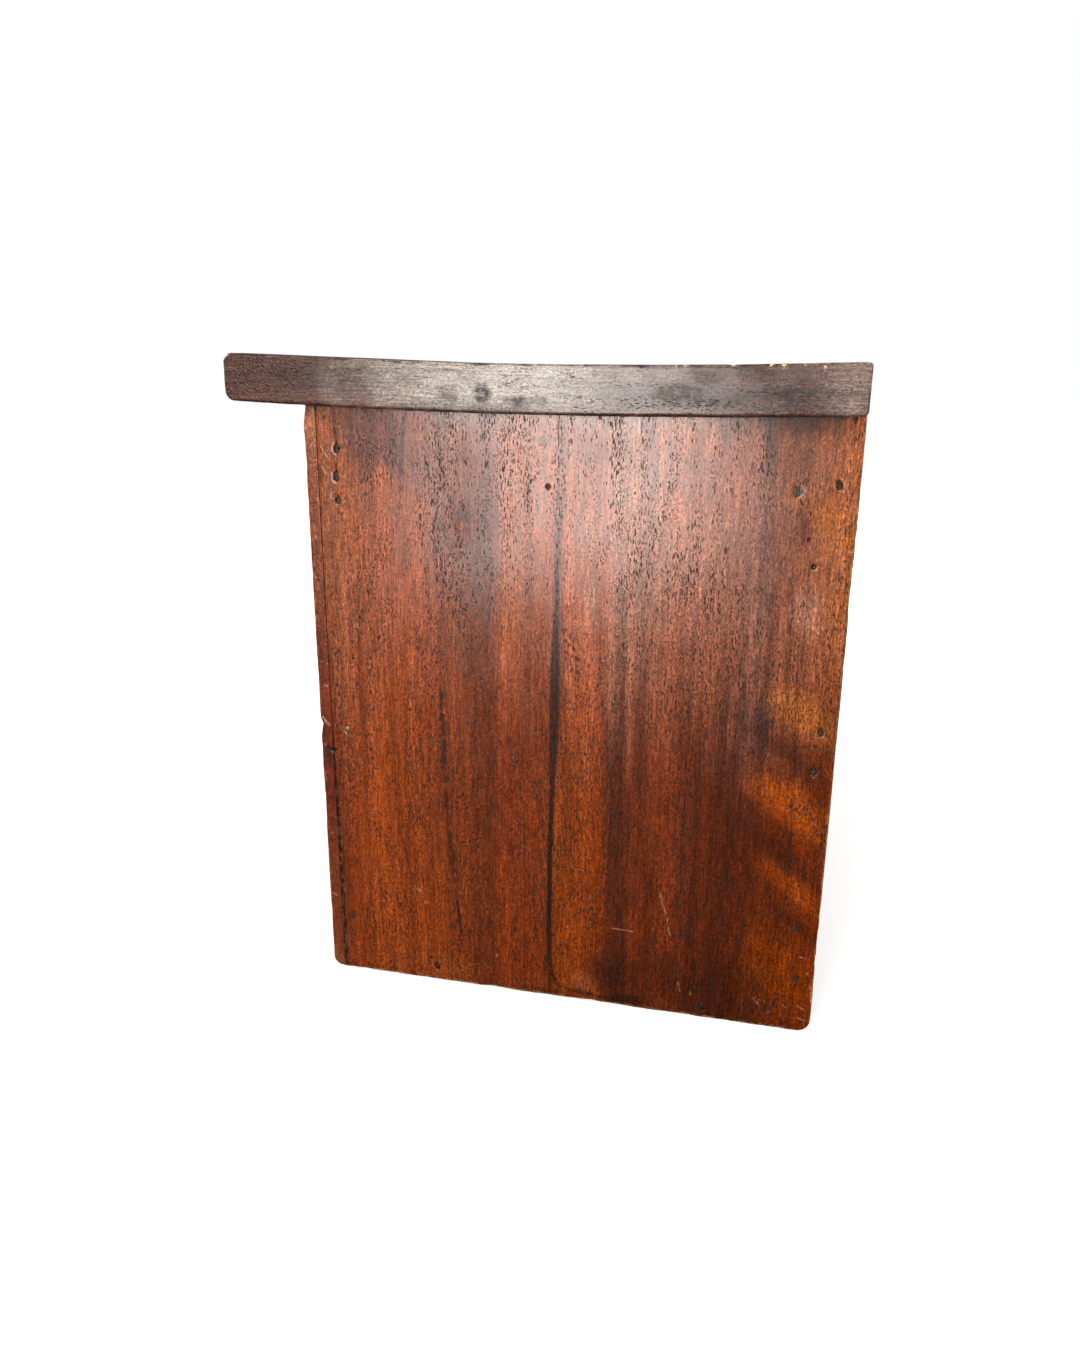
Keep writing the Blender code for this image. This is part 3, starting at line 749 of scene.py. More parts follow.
# Pale scratches and bruises in the polish: ends in y and z and width
pale_scratches = (
    ((-0.0770, 0.0640), (-0.0713, 0.0620), 0.0006),
    ((-0.0713, 0.0620), (-0.0675, 0.0577), 0.0006),
    ((-0.0675, 0.0577), (-0.0684, 0.0530), 0.0006),
    ((-0.0813, 0.0755), (-0.0800, 0.0740), 0.0005),
    ((0.0771, 0.0796), (0.0815, 0.0650), 0.0005),
    ((0.0815, 0.0650), (0.0841, 0.0529), 0.0006),
    ((0.0500, 0.0525), (0.0620, 0.0520), 0.0004),
    ((0.0900, 0.0221), (0.0912, 0.0165), 0.0006),
    ((0.0975, 0.0165), (0.0978, 0.0150), 0.0007),
    ((0.1344, 0.0183), (0.1375, 0.0150), 0.0005),
    ((0.1360, 0.0195), (0.1385, 0.0170), 0.0004),
    ((0.1408, 0.0178), (0.1415, 0.0168), 0.0006),
    ((0.1505, 0.0180), (0.1536, 0.0147), 0.0005),
    ((0.1550, 0.0170), (0.1570, 0.0150), 0.0004),
    ((0.1596, 0.0172), (0.1632, 0.0149), 0.0005),
    ((0.1629, 0.0400), (0.1667, 0.0345), 0.0005),
    ((0.1655, 0.0310), (0.1672, 0.0270), 0.0005),
    ((0.1588, 0.0494), (0.1640, 0.0484), 0.0005),
    ((0.1608, 0.0091), (0.1655, 0.0072), 0.0006),
    ((-0.0300, 0.3410), (-0.0040, 0.3390), 0.0005),
    ((0.1610, 0.2843), (0.1675, 0.2838), 0.0005),
    ((-0.1222, 0.3309), (-0.1181, 0.3246), 0.0005),
    ((-0.1219, 0.3460), (-0.1207, 0.3417), 0.0006),
    ((-0.1214, 0.3189), (-0.1195, 0.3156), 0.0007),
    ((-0.0520, 0.3085), (-0.0380, 0.3095), 0.0003),
    ((-0.1050, 0.2300), (-0.1042, 0.2280), 0.0005),
    ((-0.0220, 0.0240), (-0.0222, 0.0225), 0.0006),
)
scar = None
for start, end, width in pale_scratches:
    mask = scratch(tree, wood["place"], panel_high.x, start, end, width)
    scar = mask if scar is None else most(tree, scar, mask)
colour = blend(tree, times(tree, scar, 0.65), colour, paint(214, 156, 122))
colour = blend(tree, times(tree, wood["wear"], 0.65), colour, bare_edge)
inside = spread(tree, plus(tree, px, times(tree, drift, 0.2)), 0.2225, 0.2212)

# Dirt in the joint beside the lip, which opens towards the foot and was filled there, and dirt with painted
# shade in the holes
ragged_gap = clouds(tree, wood["place"], (200, 200, 110), 3.0, 0.6)
ragged_gap = times(tree, minus(tree, ragged_gap, 0.5), 0.0018)
joint_width = plus(tree, spread(tree, pz, 0.160, 0.085, 0.0005, 0.0034), ragged_gap)
from_joint = minus(tree, py, panel_low.y)
joint_dirt = spread(tree, from_joint, joint_width, times(tree, joint_width, 0.4))
crumbs = spread(tree, clouds(tree, wood["place"], (300, 300, 160), 3.0, 0.6, (4, 0, 1)), 0.45, 0.60)
crumbs = times(tree, crumbs, spread(tree, pz, 0.155, 0.105))
dust = blend(tree, crumbs, paint(44, 28, 22), paint(112, 84, 60))
colour = blend(tree, times(tree, joint_dirt, 0.92), colour, dust)
foot = spread(tree, clouds(tree, wood["place"], (90, 170, 300), 4.0, 0.65, (2, 0, 1)), 0.44, 0.56)
foot = times(tree, foot, spread(tree, pz, 0.0026, 0.0008))
colour = blend(tree, times(tree, foot, 0.85), colour, paint(196, 152, 104))
colour = blend(tree, inside, soiled_and_shaded(tree, colour), dry_wood)

# Where the polish of the panel has gone dull
dulled = patch(tree, wood["place"], (panel_high.x, -0.037, 0.305), (0.022, 0.046), 1.1)
roughness = plus(tree, times(tree, most(tree, inside, dulled), 0.07), 0.24)
roughness = plus(tree, roughness, times(tree, inside, 0.33))
polish = minus(tree, 1.0, most(tree, inside, times(tree, dulled, 0.7)))
polish = times(tree, polish, 0.4)
finish_wood(tree, shader, wood, colour, roughness, polish, 0.00009, scar, 0.22, 0.08, inside)

# Three small holes that hold no nail: half width, half height and depth, and where each one is
small_holes = (
    ((0.0009, 0.0012, 0.0016), Vector((panel_high.x, 0.14465, 0.2890))),
    ((0.0013, 0.0015, 0.0018), Vector((panel_high.x, 0.14825, 0.2754))),
    ((0.0016, 0.0012, 0.0014), Vector((panel_high.x, -0.12370, 0.1500))),
)
nail_surround = 0.0085  # how far round a nail the mesh is made finer
hole_surround = 0.0060
hole_reach = 0.01  # half of a hole's length along its nail
into_right = Vector((-1, 0, 0))
form = board_form(panel_low, panel_high)
round_edges(form, edges_at(form, y=panel_high.y, z=0.0), foot_radius, foot_segments)
jointed = edges_at(form, y=panel_low.y)
round_edges(form, [edge for edge in sharp_edges(form) if edge not in jointed], arris_width, arris_segments)
cut_cells(form, panel_low, panel_high, panel_cell)
for mark, half_y, half_z, depth, ragged in hole_marks:
    refine(form, nail_mouth(mark, panel_high.x), nail_surround, 3)
for size, middle in small_holes:
    refine(form, middle, hole_surround, 3)
weather(form, jointed_low, panel_high, dish, rub, 3.1)
for (half_y, half_z, depth), middle in small_holes:
    pit(form, middle, (hole_reach, half_y, half_z), into_right, depth, 0.1)
for mark, half_y, half_z, depth, ragged in hole_marks:
    pit(form, nail_mouth(mark, panel_high.x), (hole_reach, half_y, half_z), into_right, depth, ragged)
right_panel = add_piece("right_end_board", form, panel_wood, "carcass")
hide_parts("end_panel_right")

# Fillings: two of the bottom nails were stopped with dark wax and one ledger nail with grey putty. Each
# is a thin lump that fills its hole nearly flush
dark_wax, tree, shader = new_material("dark_wax")
place = node(tree, "TexCoord").outputs["Object"]
specks = clouds(tree, place, (900, 900, 900), 3.0, 0.6)
tone = blend(tree, spread(tree, specks, 0.35, 0.65), paint(38, 24, 18), paint(74, 44, 28))
feed(tree, shader, {"Base Color": tone, "Roughness": spread(tree, specks, 0.3, 0.7, 0.35, 0.6, False)})

grey_putty, tree, shader = new_material("grey_putty")
place = node(tree, "TexCoord").outputs["Object"]
specks = clouds(tree, place, (1300, 1300, 1300), 4.0, 0.7)
tone = blend(tree, spread(tree, specks, 0.35, 0.65), paint(96, 86, 78), paint(156, 148, 138))
bump = node(tree, "Bump", {"Distance": 0.0002, "Height": specks}).outputs["Normal"]
feed(tree, shader, {"Base Color": tone, "Normal": bump, "Roughness": 0.7})

filling_depth = 0.0012
turned_segments = 24
for mark, half_y, half_z, sunk_by, stuff in (
    ("nail_right_bottom_1", 0.0017, 0.0029, 0.00045, dark_wax),
    ("nail_right_bottom_2", 0.0019, 0.0030, 0.00045, dark_wax),
    ("nail_right_ledger_2", 0.0022, 0.0025, 0.00035, grey_putty),
):
    middle = nail_mouth(mark, panel_high.x - sunk_by - filling_depth / 2)
    form = bmesh.new()
    size = Matrix.Diagonal((half_z, half_y, filling_depth, 1))
    lie = Matrix.Translation(middle) @ Matrix.Rotation(math.pi / 2, 4, "Y") @ size
    bmesh.ops.create_cone(
        form, cap_ends=True, segments=turned_segments, radius1=1, radius2=0.86, depth=1, matrix=lie
    )
    round_edges(form, sharp_edges(form), 0.0002, 2)
    for vert in form.verts:
        vert.co += (middle - vert.co) * 0.16 * noise.noise(vert.co * 800)
    filling = add_piece(mark.replace("nail", "filling"), form, stuff, "carcass")

# The left end panel: a second board of the same wood, nailed in the same way. Its nails are the same
# fifteen, so its pits mirror those of the right end

far_low, far_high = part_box("end_panel_left")
mahogany_tones = (
    (0.20, paint(92, 42, 24)), (0.36, paint(114, 50, 28)), (0.46, paint(128, 56, 30)),
    (0.54, paint(118, 52, 30)), (0.64, paint(142, 66, 32)), (0.80, paint(156, 78, 34)),
)

# Hairlines: the fine scratches that handling leaves, thin arcs in two directions that fade in and out
hairline_group, given, result = new_group("hairlines", ["Vector"], {}, ["Hairlines"])
lines = None
for turn, offset in (((0.3, 0.2, 0.5), 2.0), ((1.2, 0.9, 2.1), 7.0)):
    turned = node(
        hairline_group,
        "Mapping",
        {"Vector": given["Vector"], "Rotation": turn, "Location": (offset, offset, offset)},
    ).outputs[0]
    arcs = clouds(hairline_group, turned, (38, 38, 6), 2.0, 0.45)
    thin = unsigned(hairline_group, minus(hairline_group, arcs, 0.5))
    thin = spread(hairline_group, thin, 0.0035, 0.0)
    fade = clouds(hairline_group, turned, (30, 30, 30), 3.0, 0.6, (4, 4, 4))
    thin = times(hairline_group, thin, spread(hairline_group, fade, 0.56, 0.66))
    lines = thin if lines is None else most(hairline_group, lines, thin)
hairline_group.links.new(lines, result.inputs["Hairlines"])


def mahogany(name, low, high, grain, seed, tones, dry=None, roughness=0.42, polish=0.6, ends=None):
    """The wood of a board that has no marks of its own: figure, streaks, hairlines and rubbed arrises. What
    is dry was never polished: dry gives a mask of it from the material's x, y and z."""
    material, tree, shader, wood = timber(name, low, high, grain, seed)
    figure = clouds(tree, wood["fibres"], (26, 26, 1.9), 3.0, 0.55, (0.2, 0.7, 0.1))
    colour = colour_ramp(tree, figure, tones)
    dark = spread(tree, clouds(tree, wood["fibres"], (90, 90, 2.4), 2.0, 0.5, (5, 1, 0)), 0.60, 0.72)
    colour = blend(tree, times(tree, dark, 0.6), colour, umber)
    cloudy = spread(tree, clouds(tree, wood["place"], (9, 9, 9), 3.0, 0.6, (1, 2, 0)), 0.45, 0.75)
    colour = blend(tree, times(tree, cloudy, 0.4), colour, smoke)
    if ends:
        colour = ends(tree, wood["place"], colour)
    scar = use(tree, hairline_group, {"Vector": wood["place"]})
    colour = blend(tree, times(tree, scar, 0.4), colour, paint(206, 150, 118))
    colour = blend(tree, times(tree, wood["wear"], 0.6), colour, bare_edge)
    colour = soiled_and_shaded(tree, colour)
    bare = None if polish else 1.0
    if dry:
        place = node(tree, "SeparateXYZ", {0: wood["place"]}).outputs[:]
        bare = dry(tree, place, times(tree, wood["wander"], 0.15))
        colour = blend(tree, bare, colour, dry_wood)
        roughness = plus(tree, times(tree, bare, 0.3), roughness)
        polish = times(tree, minus(tree, 1.0, bare), polish)
    finish_wood(tree, shader, wood, colour, roughness, polish, 0.00012, scar, calm=bare)
    return material


far_wood = mahogany(
    "far_end_wood", far_low, far_high, "Z", 4.3, mahogany_tones,
    dry=lambda tree, place, waver: spread(tree, plus(tree, place[0], waver), -0.2222, -0.2210),
)
form = board_form(far_low, far_high)
round_edges(form, edges_at(form, y=far_high.y, z=0.0), foot_radius, foot_segments)
round_edges(form, sharp_edges(form), arris_width, arris_segments)
cut_cells(form, far_low, far_high, Vector((0.02, 0.005, 0.005)))
far_marks = []
for mark, half_y, half_z, depth, ragged in hole_marks:
    middle = nail_mouth(mark.replace("right", "left"), far_low.x)
    far_marks.append((middle, (hole_reach, half_y, half_z), depth, ragged))
    refine(form, middle, nail_surround, 3)
weather(form, far_low, far_high, dish, rub, 8.7)
for middle, radii, depth, ragged in far_marks:
    pit(form, middle, radii, -into_right, depth, ragged)
left_panel = add_piece("left_end_board", form, far_wood, "carcass")
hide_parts("end_panel_left")


# The front board: grain along the chest, rebated at each end so that a lip of end grain laps over the
# end panel. Its foot and its top corners are rubbed round, and one knock took a bite out of the lip

front_low, front_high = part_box("front_board")
seam = 0.0003
shoulder = panel_low.x - seam
lip_y = panel_low.y - seam
lip_length = front_high.x - shoulder


def bare_above(tree, value, waver, face):
    """A mask of what lies within a board's last millimetre or two before a face, broken up by waver."""
    return spread(tree, plus(tree, value, waver), face - 0.0022, face - 0.001)


# Nicks and scratches in the right end of the lip: ends in y and z, width and tone
pale_nick = paint(226, 168, 132)
dark_nick = paint(52, 28, 18)
lip_nicks = (
    ((-0.1290, 0.3429), (-0.1258, 0.3407), 0.0005, pale_nick),
    ((-0.1319, 0.3215), (-0.1248, 0.3208), 0.0005, dark_nick),
    ((-0.1260, 0.3015), (-0.1248, 0.2987), 0.0006, pale_nick),
    ((-0.1286, 0.2862), (-0.1278, 0.2788), 0.0007, pale_nick),
    ((-0.1295, 0.2613), (-0.1280, 0.2544), 0.0012, dark_nick),
    ((-0.1291, 0.2056), (-0.1241, 0.2041), 0.0004, pale_nick),
    ((-0.1280, 0.1908), (-0.1258, 0.1903), 0.0005, pale_nick),
    ((-0.1302, 0.1704), (-0.1262, 0.1657), 0.0010, pale_nick),
    ((-0.1275, 0.1560), (-0.1262, 0.1420), 0.0024, dark_nick),
    ((-0.1302, 0.1537), (-0.1290, 0.1526), 0.0005, pale_nick),
    ((-0.1303, 0.0525), (-0.1269, 0.0512), 0.0006, pale_nick),
    ((-0.1310, 0.0399), (-0.1286, 0.0395), 0.0006, pale_nick),
)


def end_grain(tree, place, colour):
    """The lip's end grain, which drank more stain than the faces did and is redder towards the foot."""
    rings = spread(tree, clouds(tree, place, (4, 260, 34), 4.0, 0.65, (0, 1, 2)), 0.30, 0.70)
    upper = blend(tree, rings, paint(132, 58, 26), paint(178, 90, 46))
    lower = blend(tree, rings, paint(98, 34, 6), paint(146, 50, 6))
    height = node(tree, "SeparateXYZ", {0: place}).outputs[2]
    cut = blend(tree, spread(tree, height, 0.16, 0.27), lower, upper)
    cut = blend(tree, spread(tree, height, 0.295, 0.335, 0.0, 0.60), cut, paint(224, 142, 96))
    # Darker just under the lid strip: painted shade of its overhang
    cut = blend(tree, spread(tree, height, 0.345, 0.353, 0.0, 0.60), cut, umber)
    cut = blend(tree, spread(tree, height, 0.120, 0.080, 0.0, 0.35), cut, paint(176, 88, 36))
    cut = blend(tree, spread(tree, height, 0.020, 0.006, 0.0, 0.50), cut, paint(190, 120, 60))
    for start, end, width, tone in lip_nicks:
        mask = scratch(tree, place, front_high.x, start, end, width)
        cut = blend(tree, times(tree, mask, 0.8), cut, tone)
    out = unsigned(tree, node(tree, "SeparateXYZ", {0: place}).outputs[0])
    cut = blend(tree, 0.15, cut, colour)
    return blend(tree, spread(tree, out, front_high.x - 0.0016, front_high.x - 0.0006), colour, cut)


front_wood = mahogany(
    "front_wood", front_low, front_high, "X", 9.1, mahogany_tones, roughness=0.3, ends=end_grain,
    dry=lambda tree, place, waver: bare_above(tree, place[1], waver, front_high.y),
)
form = board_form(
    Vector((-shoulder, front_low.y, front_low.z)), Vector((shoulder, front_high.y, front_high.z))
)
cut_across(form, 1, lip_y)
for sign in (-1, 1):
    ends = [
        face
        for face in form.faces
        if face.normal.x * sign > 0.9 and face.calc_center_median().y < lip_y
    ]
    lip = bmesh.ops.extrude_discrete_faces(form, faces=ends)["faces"]
    lip_verts = list({vert for face in lip for vert in face.verts})
    bmesh.ops.translate(form, verts=lip_verts, vec=(sign * lip_length, 0, 0))
bmesh.ops.recalc_face_normals(form, faces=form.faces)
round_edges(form, edges_at(form, y=front_low.y, z=0.0), 0.0065, 5)
jointed = edges_at(form, y=lip_y)
worn = [edge for edge in sharp_edges(form) if edge.is_convex and edge not in jointed]
round_edges(form, worn, arris_width, arris_segments)
cut_cells(form, front_low, front_high, Vector((0.008, 0.0036, 0.0036)))
chip = Vector((front_high.x, lip_y, 0.1500))
refine(form, chip, hole_surround, 3)
weather(form, front_low, front_high, dish, 0.0004, 5.5)
pit(form, chip, (0.003, 0.0014, 0.0013), into_right, 0.0012, 0.3)
top_corner = Vector((front_high.x, front_low.y, front_high.z))
press(form, top_corner, (0.03, 0.0070, 0.0140), Vector((0, 0.9, -0.4)), 0.0016, 0.1)
knock = Vector((front_high.x, front_low.y, 0.165))
press(form, knock, (0.012, 0.004, 0.0032), Vector((-0.3, 1, 0)), 0.0019, 0.3)
front_piece = add_piece("front_plank", form, front_wood, "carcass")
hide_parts("front_board")


# The back and the bottom: plain boards between the ends, with their grain along the chest. The back has
# shallow mortises in its rim for the lower hinge leaves

back_low, back_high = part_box("back_board")
bottom_low, bottom_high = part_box("bottom_board")
leaf_room = 0.0003  # round a hinge leaf in its mortise
mortise_depth = 0.0021
cutter_reach = 0.002  # how far a cutter stands out of the board
board_cell = Vector((0.010, 0.010, 0.010))


def carve(piece, low, high):
    """Cuts a box-shaped mortise out of a piece."""
    cutter = add_piece("cutter", board_form(low, high), piece.data.materials[0])
    cut = piece.modifiers.new("mortise", "BOOLEAN")
    cut.solver = "EXACT"
    cut.object = cutter
    bpy.context.view_layer.update()
    mesh = bpy.data.meshes.new_from_object(piece.evaluated_get(bpy.context.evaluated_depsgraph_get()))
    piece.modifiers.clear()
    piece.data = mesh
    bpy.data.objects.remove(cutter)


back_wood = mahogany(
    "back_wood", back_low, back_high, "X", 13.7, mahogany_tones, roughness=0.5, polish=0.3,
    dry=lambda tree, place, waver: spread(
        tree, plus(tree, place[1], waver), back_low.y + 0.0022, back_low.y + 0.001
    ),
)
form = board_form(back_low, back_high)
round_edges(form, sharp_edges(form), arris_width, arris_segments)
cut_cells(form, back_low, back_high, board_cell)
weather(form, back_low, back_high, dish, rub, 12.2)
back_piece = add_piece("back_plank", form, back_wood, "carcass")
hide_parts("back_board")
for side in ("right", "left"):
    low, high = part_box(f"hinge_{side}_lower_leaf")
    plate_low = Vector((low.x - leaf_room, low.y - leaf_room, back_high.z - mortise_depth))
    plate_high = Vector((high.x + leaf_room, back_high.y + cutter_reach, back_high.z + cutter_reach))
    carve(back_piece, plate_low, plate_high)

bottom_wood = mahogany(
    "bottom_wood", bottom_low, bottom_high, "X", 17.9, mahogany_tones, roughness=0.5, polish=0.3,
    dry=lambda tree, place, waver: most(
        tree,
        bare_above(tree, place[2], waver, bottom_high.z),
        spread(tree, plus(tree, place[2], waver), 0.0022, 0.0008),
    ),
)
form = board_form(bottom_low, bottom_high)
round_edges(form, edges_at(form, y=bottom_high.y, z=0.0), foot_radius, foot_segments)
round_edges(form, sharp_edges(form), arris_width, arris_segments)
cut_cells(form, bottom_low, bottom_high, board_cell)
weather(form, bottom_low, bottom_high, dish, rub, 15.8)
bottom_piece = add_piece("bottom_plank", form, bottom_wood, "carcass")
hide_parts("bottom_board")


# The tray ledgers: sawn strips of the same wood, never polished, one nailed inside each end

ledger_tones = ((0.25, paint(150, 100, 60)), (0.50, paint(172, 122, 78)), (0.75, paint(188, 140, 94)))
for side, seed in (("right", 21.3), ("left", 25.1)):
    low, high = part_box(f"tray_ledger_{side}")
    ledger_wood = mahogany(
        f"ledger_wood_{side}", low, high, "Y", seed, ledger_tones, roughness=0.68, polish=0.0
    )
    form = board_form(low, high)
    round_edges(form, sharp_edges(form), arris_width, arris_segments)
    cut_cells(form, low, high, Vector((0.005, 0.006, 0.005)))
    weather(form, low, high, dish, rub, seed)
    ledger = add_piece(f"{side}_ledger", form, ledger_wood, "carcass")
    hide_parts(f"tray_ledger_{side}")


# The lid: one wide board with its grain along the chest, cupped by its years, rounded at the front and
# let in underneath for the upper hinge leaves

lid_low, lid_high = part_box("lid_board")
cup_radius = 4.2
cup_line = lid_high.y - 0.125  # the arc's lowest line
cup_bottom = 0.3543
lid_board_thickness = 0.0202
lid_front_radius = 0.005
lid_back_radius = 0.002
lid_mortise_top = 0.3583


def cup(form, lift):
    """Bends a flat board to the lid's arc, hollow side up, and lifts it to its place."""
    for vert in form.verts:
        run = vert.co.y - cup_line
        vert.co.z += lift + cup_radius - math.sqrt(cup_radius**2 - run**2)


def flattened(tree, place, lift):
    """The coordinates of a cupped board as if it were flat, for wear along its edges."""
    run = minus(tree, place[1], cup_line)
    rise = over(tree, times(tree, run, run), 2 * cup_radius)
    flat = minus(tree, minus(tree, place[2], rise), lift)
    return node(tree, "CombineXYZ", {0: place[0], 1: place[1], 2: flat}).outputs[0]


def cupped_board(low_x, high_x, thickness, cell, seed, arris, rub):
    """A flat board as deep as the lid, rounded, divided and worn, that waits to be cupped."""
    low = Vector((low_x, lid_low.y, 0))
    high = Vector((high_x, lid_high.y, thickness))
    form = board_form(low, high)
    for z in (0.0, thickness):
        round_edges(form, edges_at(form, y=low.y, z=z), lid_front_radius, 5)
        round_edges(form, edges_at(form, y=high.y, z=z), lid_back_radius, 4)
    round_edges(form, sharp_edges(form), arris, arris_segments)
    cut_cells(form, low, high, cell)
    weather(form, low, high, dish, rub, seed)
    return form


lid_tones = (
    (0.22, paint(70, 36, 24)), (0.40, paint(92, 46, 30)), (0.50, paint(104, 52, 34)),
    (0.60, paint(96, 50, 34)), (0.78, paint(122, 66, 42)),
)
lid_wood = mahogany("lid_wood", lid_low, lid_high, "X", 29.3, lid_tones, roughness=0.38, polish=0.7)
form = cupped_board(lid_low.x, lid_high.x, lid_board_thickness, board_cell * 0.7, 31.0, arris_width, rub)
cup(form, cup_bottom)
lid_piece = add_piece("lid_plank", form, lid_wood, "lid")
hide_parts("lid_board")
for side in ("right", "left"):
    low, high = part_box(f"hinge_{side}_upper_leaf")
    plate_low = Vector((low.x - leaf_room, low.y - leaf_room, lid_low.z - 0.003))
    carve(lid_piece, plate_low, Vector((high.x + leaf_room, lid_high.y + cutter_reach, lid_mortise_top)))


# The end strips of the lid: thin, with their grain from front to back, glued over the lid's end grain.
# They are nearly black with handling, rubbed to bare wood along the top, and hang past the rim

cleat_height = 0.0257
cleat_lift = cup_bottom + lid_board_thickness - cleat_height
cleat_tones = (
    (0.22, paint(62, 36, 29)), (0.42, paint(90, 54, 43)), (0.52, paint(102, 63, 50)),
    (0.64, paint(112, 71, 57)), (0.80, paint(132, 87, 70)),
)
# Where the right strip's polish has gone dull and dark: centre and half size in y and z, colour, strength
strip_stains = (
    ((-0.044, 0.3590), (0.0090, 0.0080), paint(44, 38, 36), 0.60),
    ((-0.026, 0.3590), (0.0090, 0.0070), paint(40, 35, 34), 0.95),
    ((-0.034, 0.3520), (0.0600, 0.0056), paint(64, 52, 46), 0.60),
    ((-0.006, 0.3565), (0.0160, 0.0042), paint(44, 38, 36), 0.90),
    ((0.090, 0.3570), (0.0320, 0.0050), paint(60, 42, 36), 0.55),
    ((-0.098, 0.3650), (0.0200, 0.0070), paint(70, 40, 32), 0.25),
    ((0.078, 0.3610), (0.0260, 0.0060), paint(76, 50, 34), 0.70),
    ((0.092, 0.3690), (0.0150, 0.0100), paint(70, 48, 36), 0.65),
    ((0.116, 0.3715), (0.0200, 0.0090), paint(78, 50, 34), 0.80),
    ((0.126, 0.3600), (0.0160, 0.0090), paint(60, 42, 36), 0.55),
)
for side, seed in (("right", 33.0), ("left", 41.0)):
    low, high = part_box(f"lid_cleat_{side}")
    outer = high.x if side == "right" else low.x
    material, tree, shader, wood = timber(f"cleat_wood_{side}", low, high, "Y", seed)
    place = node(tree, "SeparateXYZ", {0: wood["place"]}).outputs[:]
    flat = flattened(tree, place, cleat_lift)
    figure = clouds(tree, wood["fibres"], (70, 70, 4.0), 4.0, 0.6, (0.2, 0.7, 0.1))
    colour = colour_ramp(tree, figure, cleat_tones)
    dull = clouds(tree, wood["place"], (30, 22, 60), 4.0, 0.6)
    dull = times(tree, spread(tree, dull, 0.52, 0.70), 0.3)
    if side == "right":
        # A pale warm grey painted over the middle of the right strip: a painted highlight of the window light
        strip_painted_highlight = patch(tree, wood["place"], (outer, -0.027, 0.372), (0.110, 0.034), 0.9)
        colour = blend(tree, times(tree, strip_painted_highlight, 0.88), colour, paint(190, 174, 158))
    smudge = clouds(tree, wood["place"], (300, 170, 300), 4.0, 0.7, (6, 1, 2))
    smudge = spread(tree, smudge, 0.40, 0.56, 0.50, 1.0)
    for middle, half_size, stain, strength in strip_stains if side == "right" else ():
        mask = patch(tree, wood["place"], (outer, *middle), half_size, 2.2)
        mask = times(tree, times(tree, mask, strength), smudge)
        colour = blend(tree, mask, colour, stain)
        dull = most(tree, dull, mask)
    corners = {"Low": (low.x, low.y, 0), "High": (high.x, high.y, cleat_height)}
    edge_band = use(tree, wear_group, {"Vector": flat, **corners, "Width": 0.0020})
    specks = clouds(tree, wood["place"], (260, 260, 260), 2.0, 0.5, (3, 3, 9))
    specks = times(tree, spread(tree, specks, 0.62, 0.67), spread(tree, place[2], 0.3715, 0.3745))
    specks = times(tree, specks, spread(tree, place[1], 0.060, 0.085))
    grazes = use(tree, hairline_group, {"Vector": wood["place"]})
    lumps = clouds(tree, wood["place"], (820, 700, 900), 3.0, 0.6, (2, 4, 1))
    grazes = minus(tree, grazes, times(tree, lumps, 5.0))
    worn_end = plus(tree, place[1], times(tree, lumps, 0.012))
    worn_end = spread(tree, worn_end, high.y - 0.0260, high.y - 0.0020)
    colour = blend(tree, times(tree, worn_end, 0.60), colour, paint(172, 146, 132))
    # A dark line painted along the strip's arrises is painted shade where they turn from the light; their
    # wear also makes them rougher and unpolished
    colour = blend(tree, times(tree, edge_band, 0.92), colour, paint(44, 24, 17))
    colour = blend(tree, specks, colour, paint(222, 186, 130))
    roughness = plus(tree, times(tree, dull, 0.30), 0.24)
    roughness = plus(tree, roughness, spread(tree, place[1], 0.0, -0.10, 0.0, 0.16))
    roughness = plus(tree, roughness, times(tree, edge_band, 0.4))
    polish = minus(tree, 1.0, most(tree, times(tree, dull, 0.9), edge_band))
    finish_wood(tree, shader, wood, colour, roughness, polish, 0.00014, grazes, 0.22, 0.75)
    cell = Vector((0.02, 0.0032, 0.0032))
    form = cupped_board(low.x, high.x, cleat_height, cell, seed, 0.0016, 0.0003)
    cup(form, cleat_lift)
    strip = add_piece(f"{side}_lid_strip", form, material, "lid")
    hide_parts(f"lid_cleat_{side}")


# The nails: cut iron nails, dark with age, their heads worn bright here and there. Those that sit deep are
# near black with dirt and painted shade, and one was replaced by a brass pin


def nail_metal(name, bright, rusty, shine, dull):
    """Old metal in two tones, one bare and one rusty: how metallic and how rough the bare one is."""
    material, tree, shader = new_material(name)
    place = node(tree, "TexCoord").outputs["Object"]
    rust = spread(tree, clouds(tree, place, (700, 700, 700), 4.0, 0.7), 0.40, 0.65)
    inputs = {
        "Base Color": blend(tree, rust, bright, rusty),
        "Metallic": spread(tree, rust, 0, 1, shine, 0.05, False),
        "Roughness": spread(tree, rust, 0, 1, dull, 0.85, False),
    }
    rough_iron = clouds(tree, place, (2200, 2200, 2200), 3.0, 0.6)
    inputs["Normal"] = node(tree, "Bump", {"Distance": 0.0001, "Height": rough_iron}).outputs["Normal"]
    feed(tree, shader, inputs)
    return material


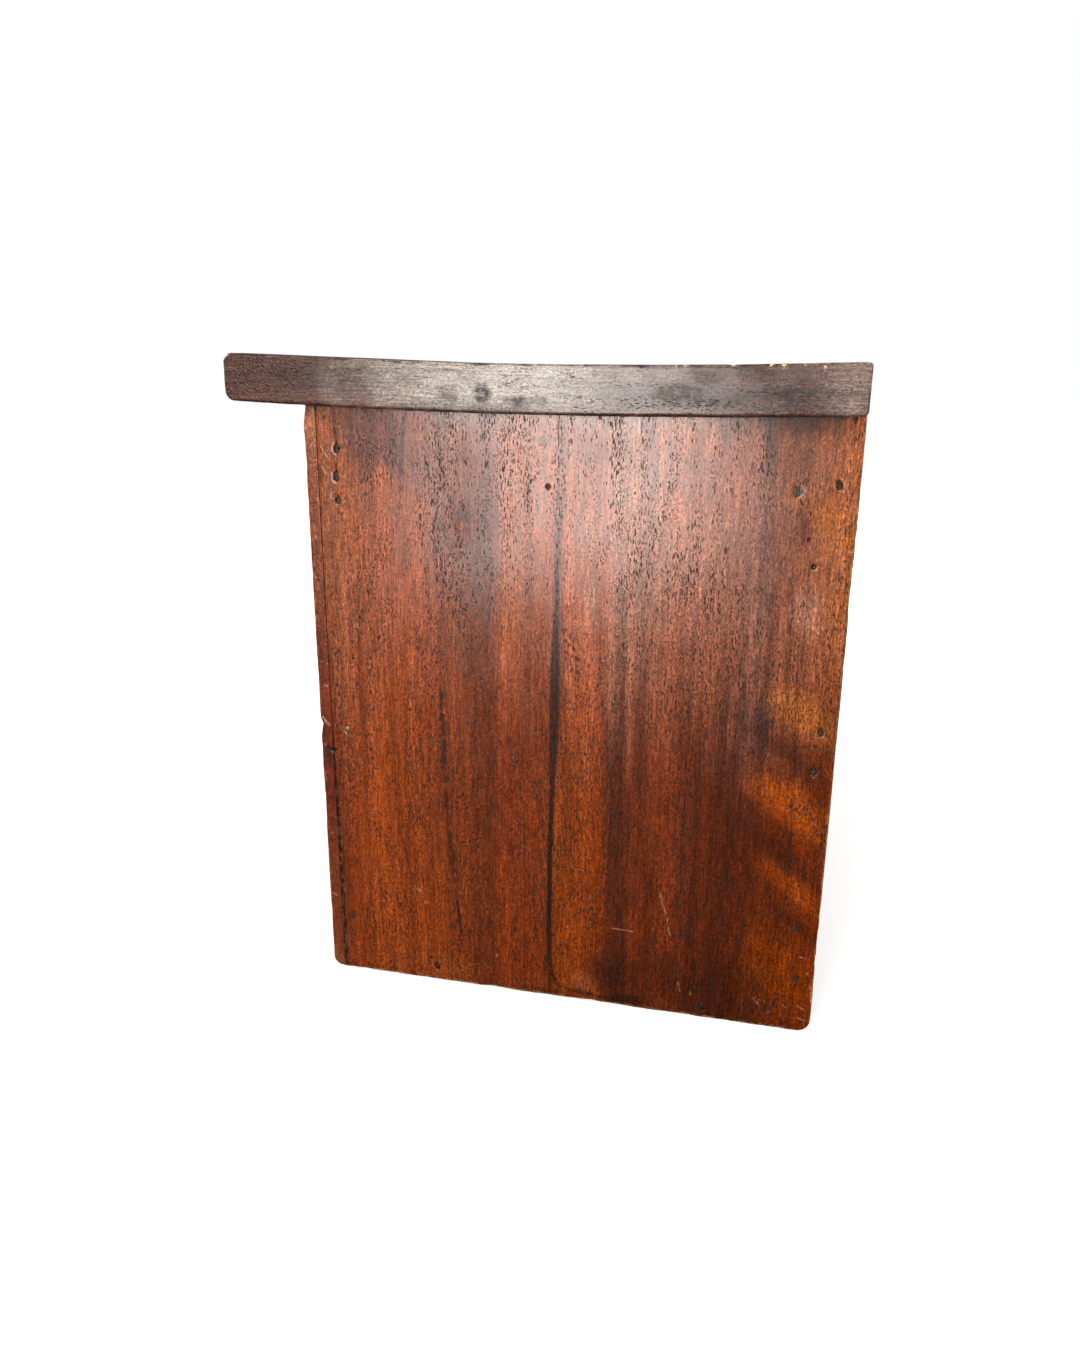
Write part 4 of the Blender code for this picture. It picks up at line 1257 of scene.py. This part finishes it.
aged_iron = nail_metal("aged_iron", paint(88, 72, 58), paint(48, 33, 24), 0.45, 0.5)
# A darker, duller iron for the nails that sit deep: dirt and painted shade
dirty_and_shaded_iron = nail_metal("dirty_and_shaded_iron", paint(76, 70, 62), paint(22, 18, 15), 0.3, 0.6)
yellow_metal = nail_metal("yellow_metal", paint(176, 136, 78), paint(112, 74, 40), 0.6, 0.42)
deep_nails = ("front_1", "front_2", "front_3", "ledger_1", "back_1", "back_4", "back_5")
for name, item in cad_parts.items():
    if name.startswith("nail_"):
        item.data.materials.clear()
        item.data.materials.append(dirty_and_shaded_iron if name.endswith(deep_nails) else aged_iron)

# The replaced nail: a round brass pin with a low domed head, turned about its own line
low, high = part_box("nail_right_front_4")
pin_place = nail_mouth("nail_right_front_4", 0)
pin_outline = (
    (low.x, 0), (low.x + 0.003, 0.0008), (high.x - 0.0011, 0.0009), (high.x - 0.0009, 0.0019),
    (high.x - 0.0004, 0.0021), (high.x + 0.0001, 0.0017), (high.x + 0.0004, 0.0009), (high.x + 0.0005, 0),
)
form = bmesh.new()
outline = [form.verts.new(pin_place + Vector((x, 0, radius))) for x, radius in pin_outline]
edges = [form.edges.new(pair) for pair in itertools.pairwise(outline)]
bmesh.ops.spin(
    form, geom=outline + edges, cent=pin_place, axis=(1, 0, 0),
    angle=2 * math.pi, steps=turned_segments, use_merge=True,
)
bmesh.ops.remove_doubles(form, verts=form.verts, dist=0.00001)
bmesh.ops.recalc_face_normals(form, faces=form.faces)
pin = add_piece("brass_pin", form, yellow_metal, "carcass")
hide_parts("nail_right_front_4")


# The hinges: plain brass butts with brass screws and pins, gone brown except where they rub

hinge_brass, tree, shader = new_material("aged_brass")
place = node(tree, "TexCoord").outputs["Object"]
tarnish = spread(tree, clouds(tree, place, (160, 160, 160), 5.0, 0.68), 0.38, 0.66)
tone = blend(tree, tarnish, paint(188, 148, 84), paint(108, 76, 42))
polished = spread(tree, tarnish, 0, 1, 0.30, 0.52, False)
filed = clouds(tree, place, (300, 2600, 2600), 2.0, 0.6)
bump = node(tree, "Bump", {"Distance": 0.00005, "Height": filed}).outputs["Normal"]
feed(tree, shader, {"Base Color": tone, "Metallic": 1.0, "Roughness": polished, "Normal": bump})
for name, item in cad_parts.items():
    if name.startswith(("hinge_", "screw_")):
        item.data.materials.clear()
        item.data.materials.append(hinge_brass)
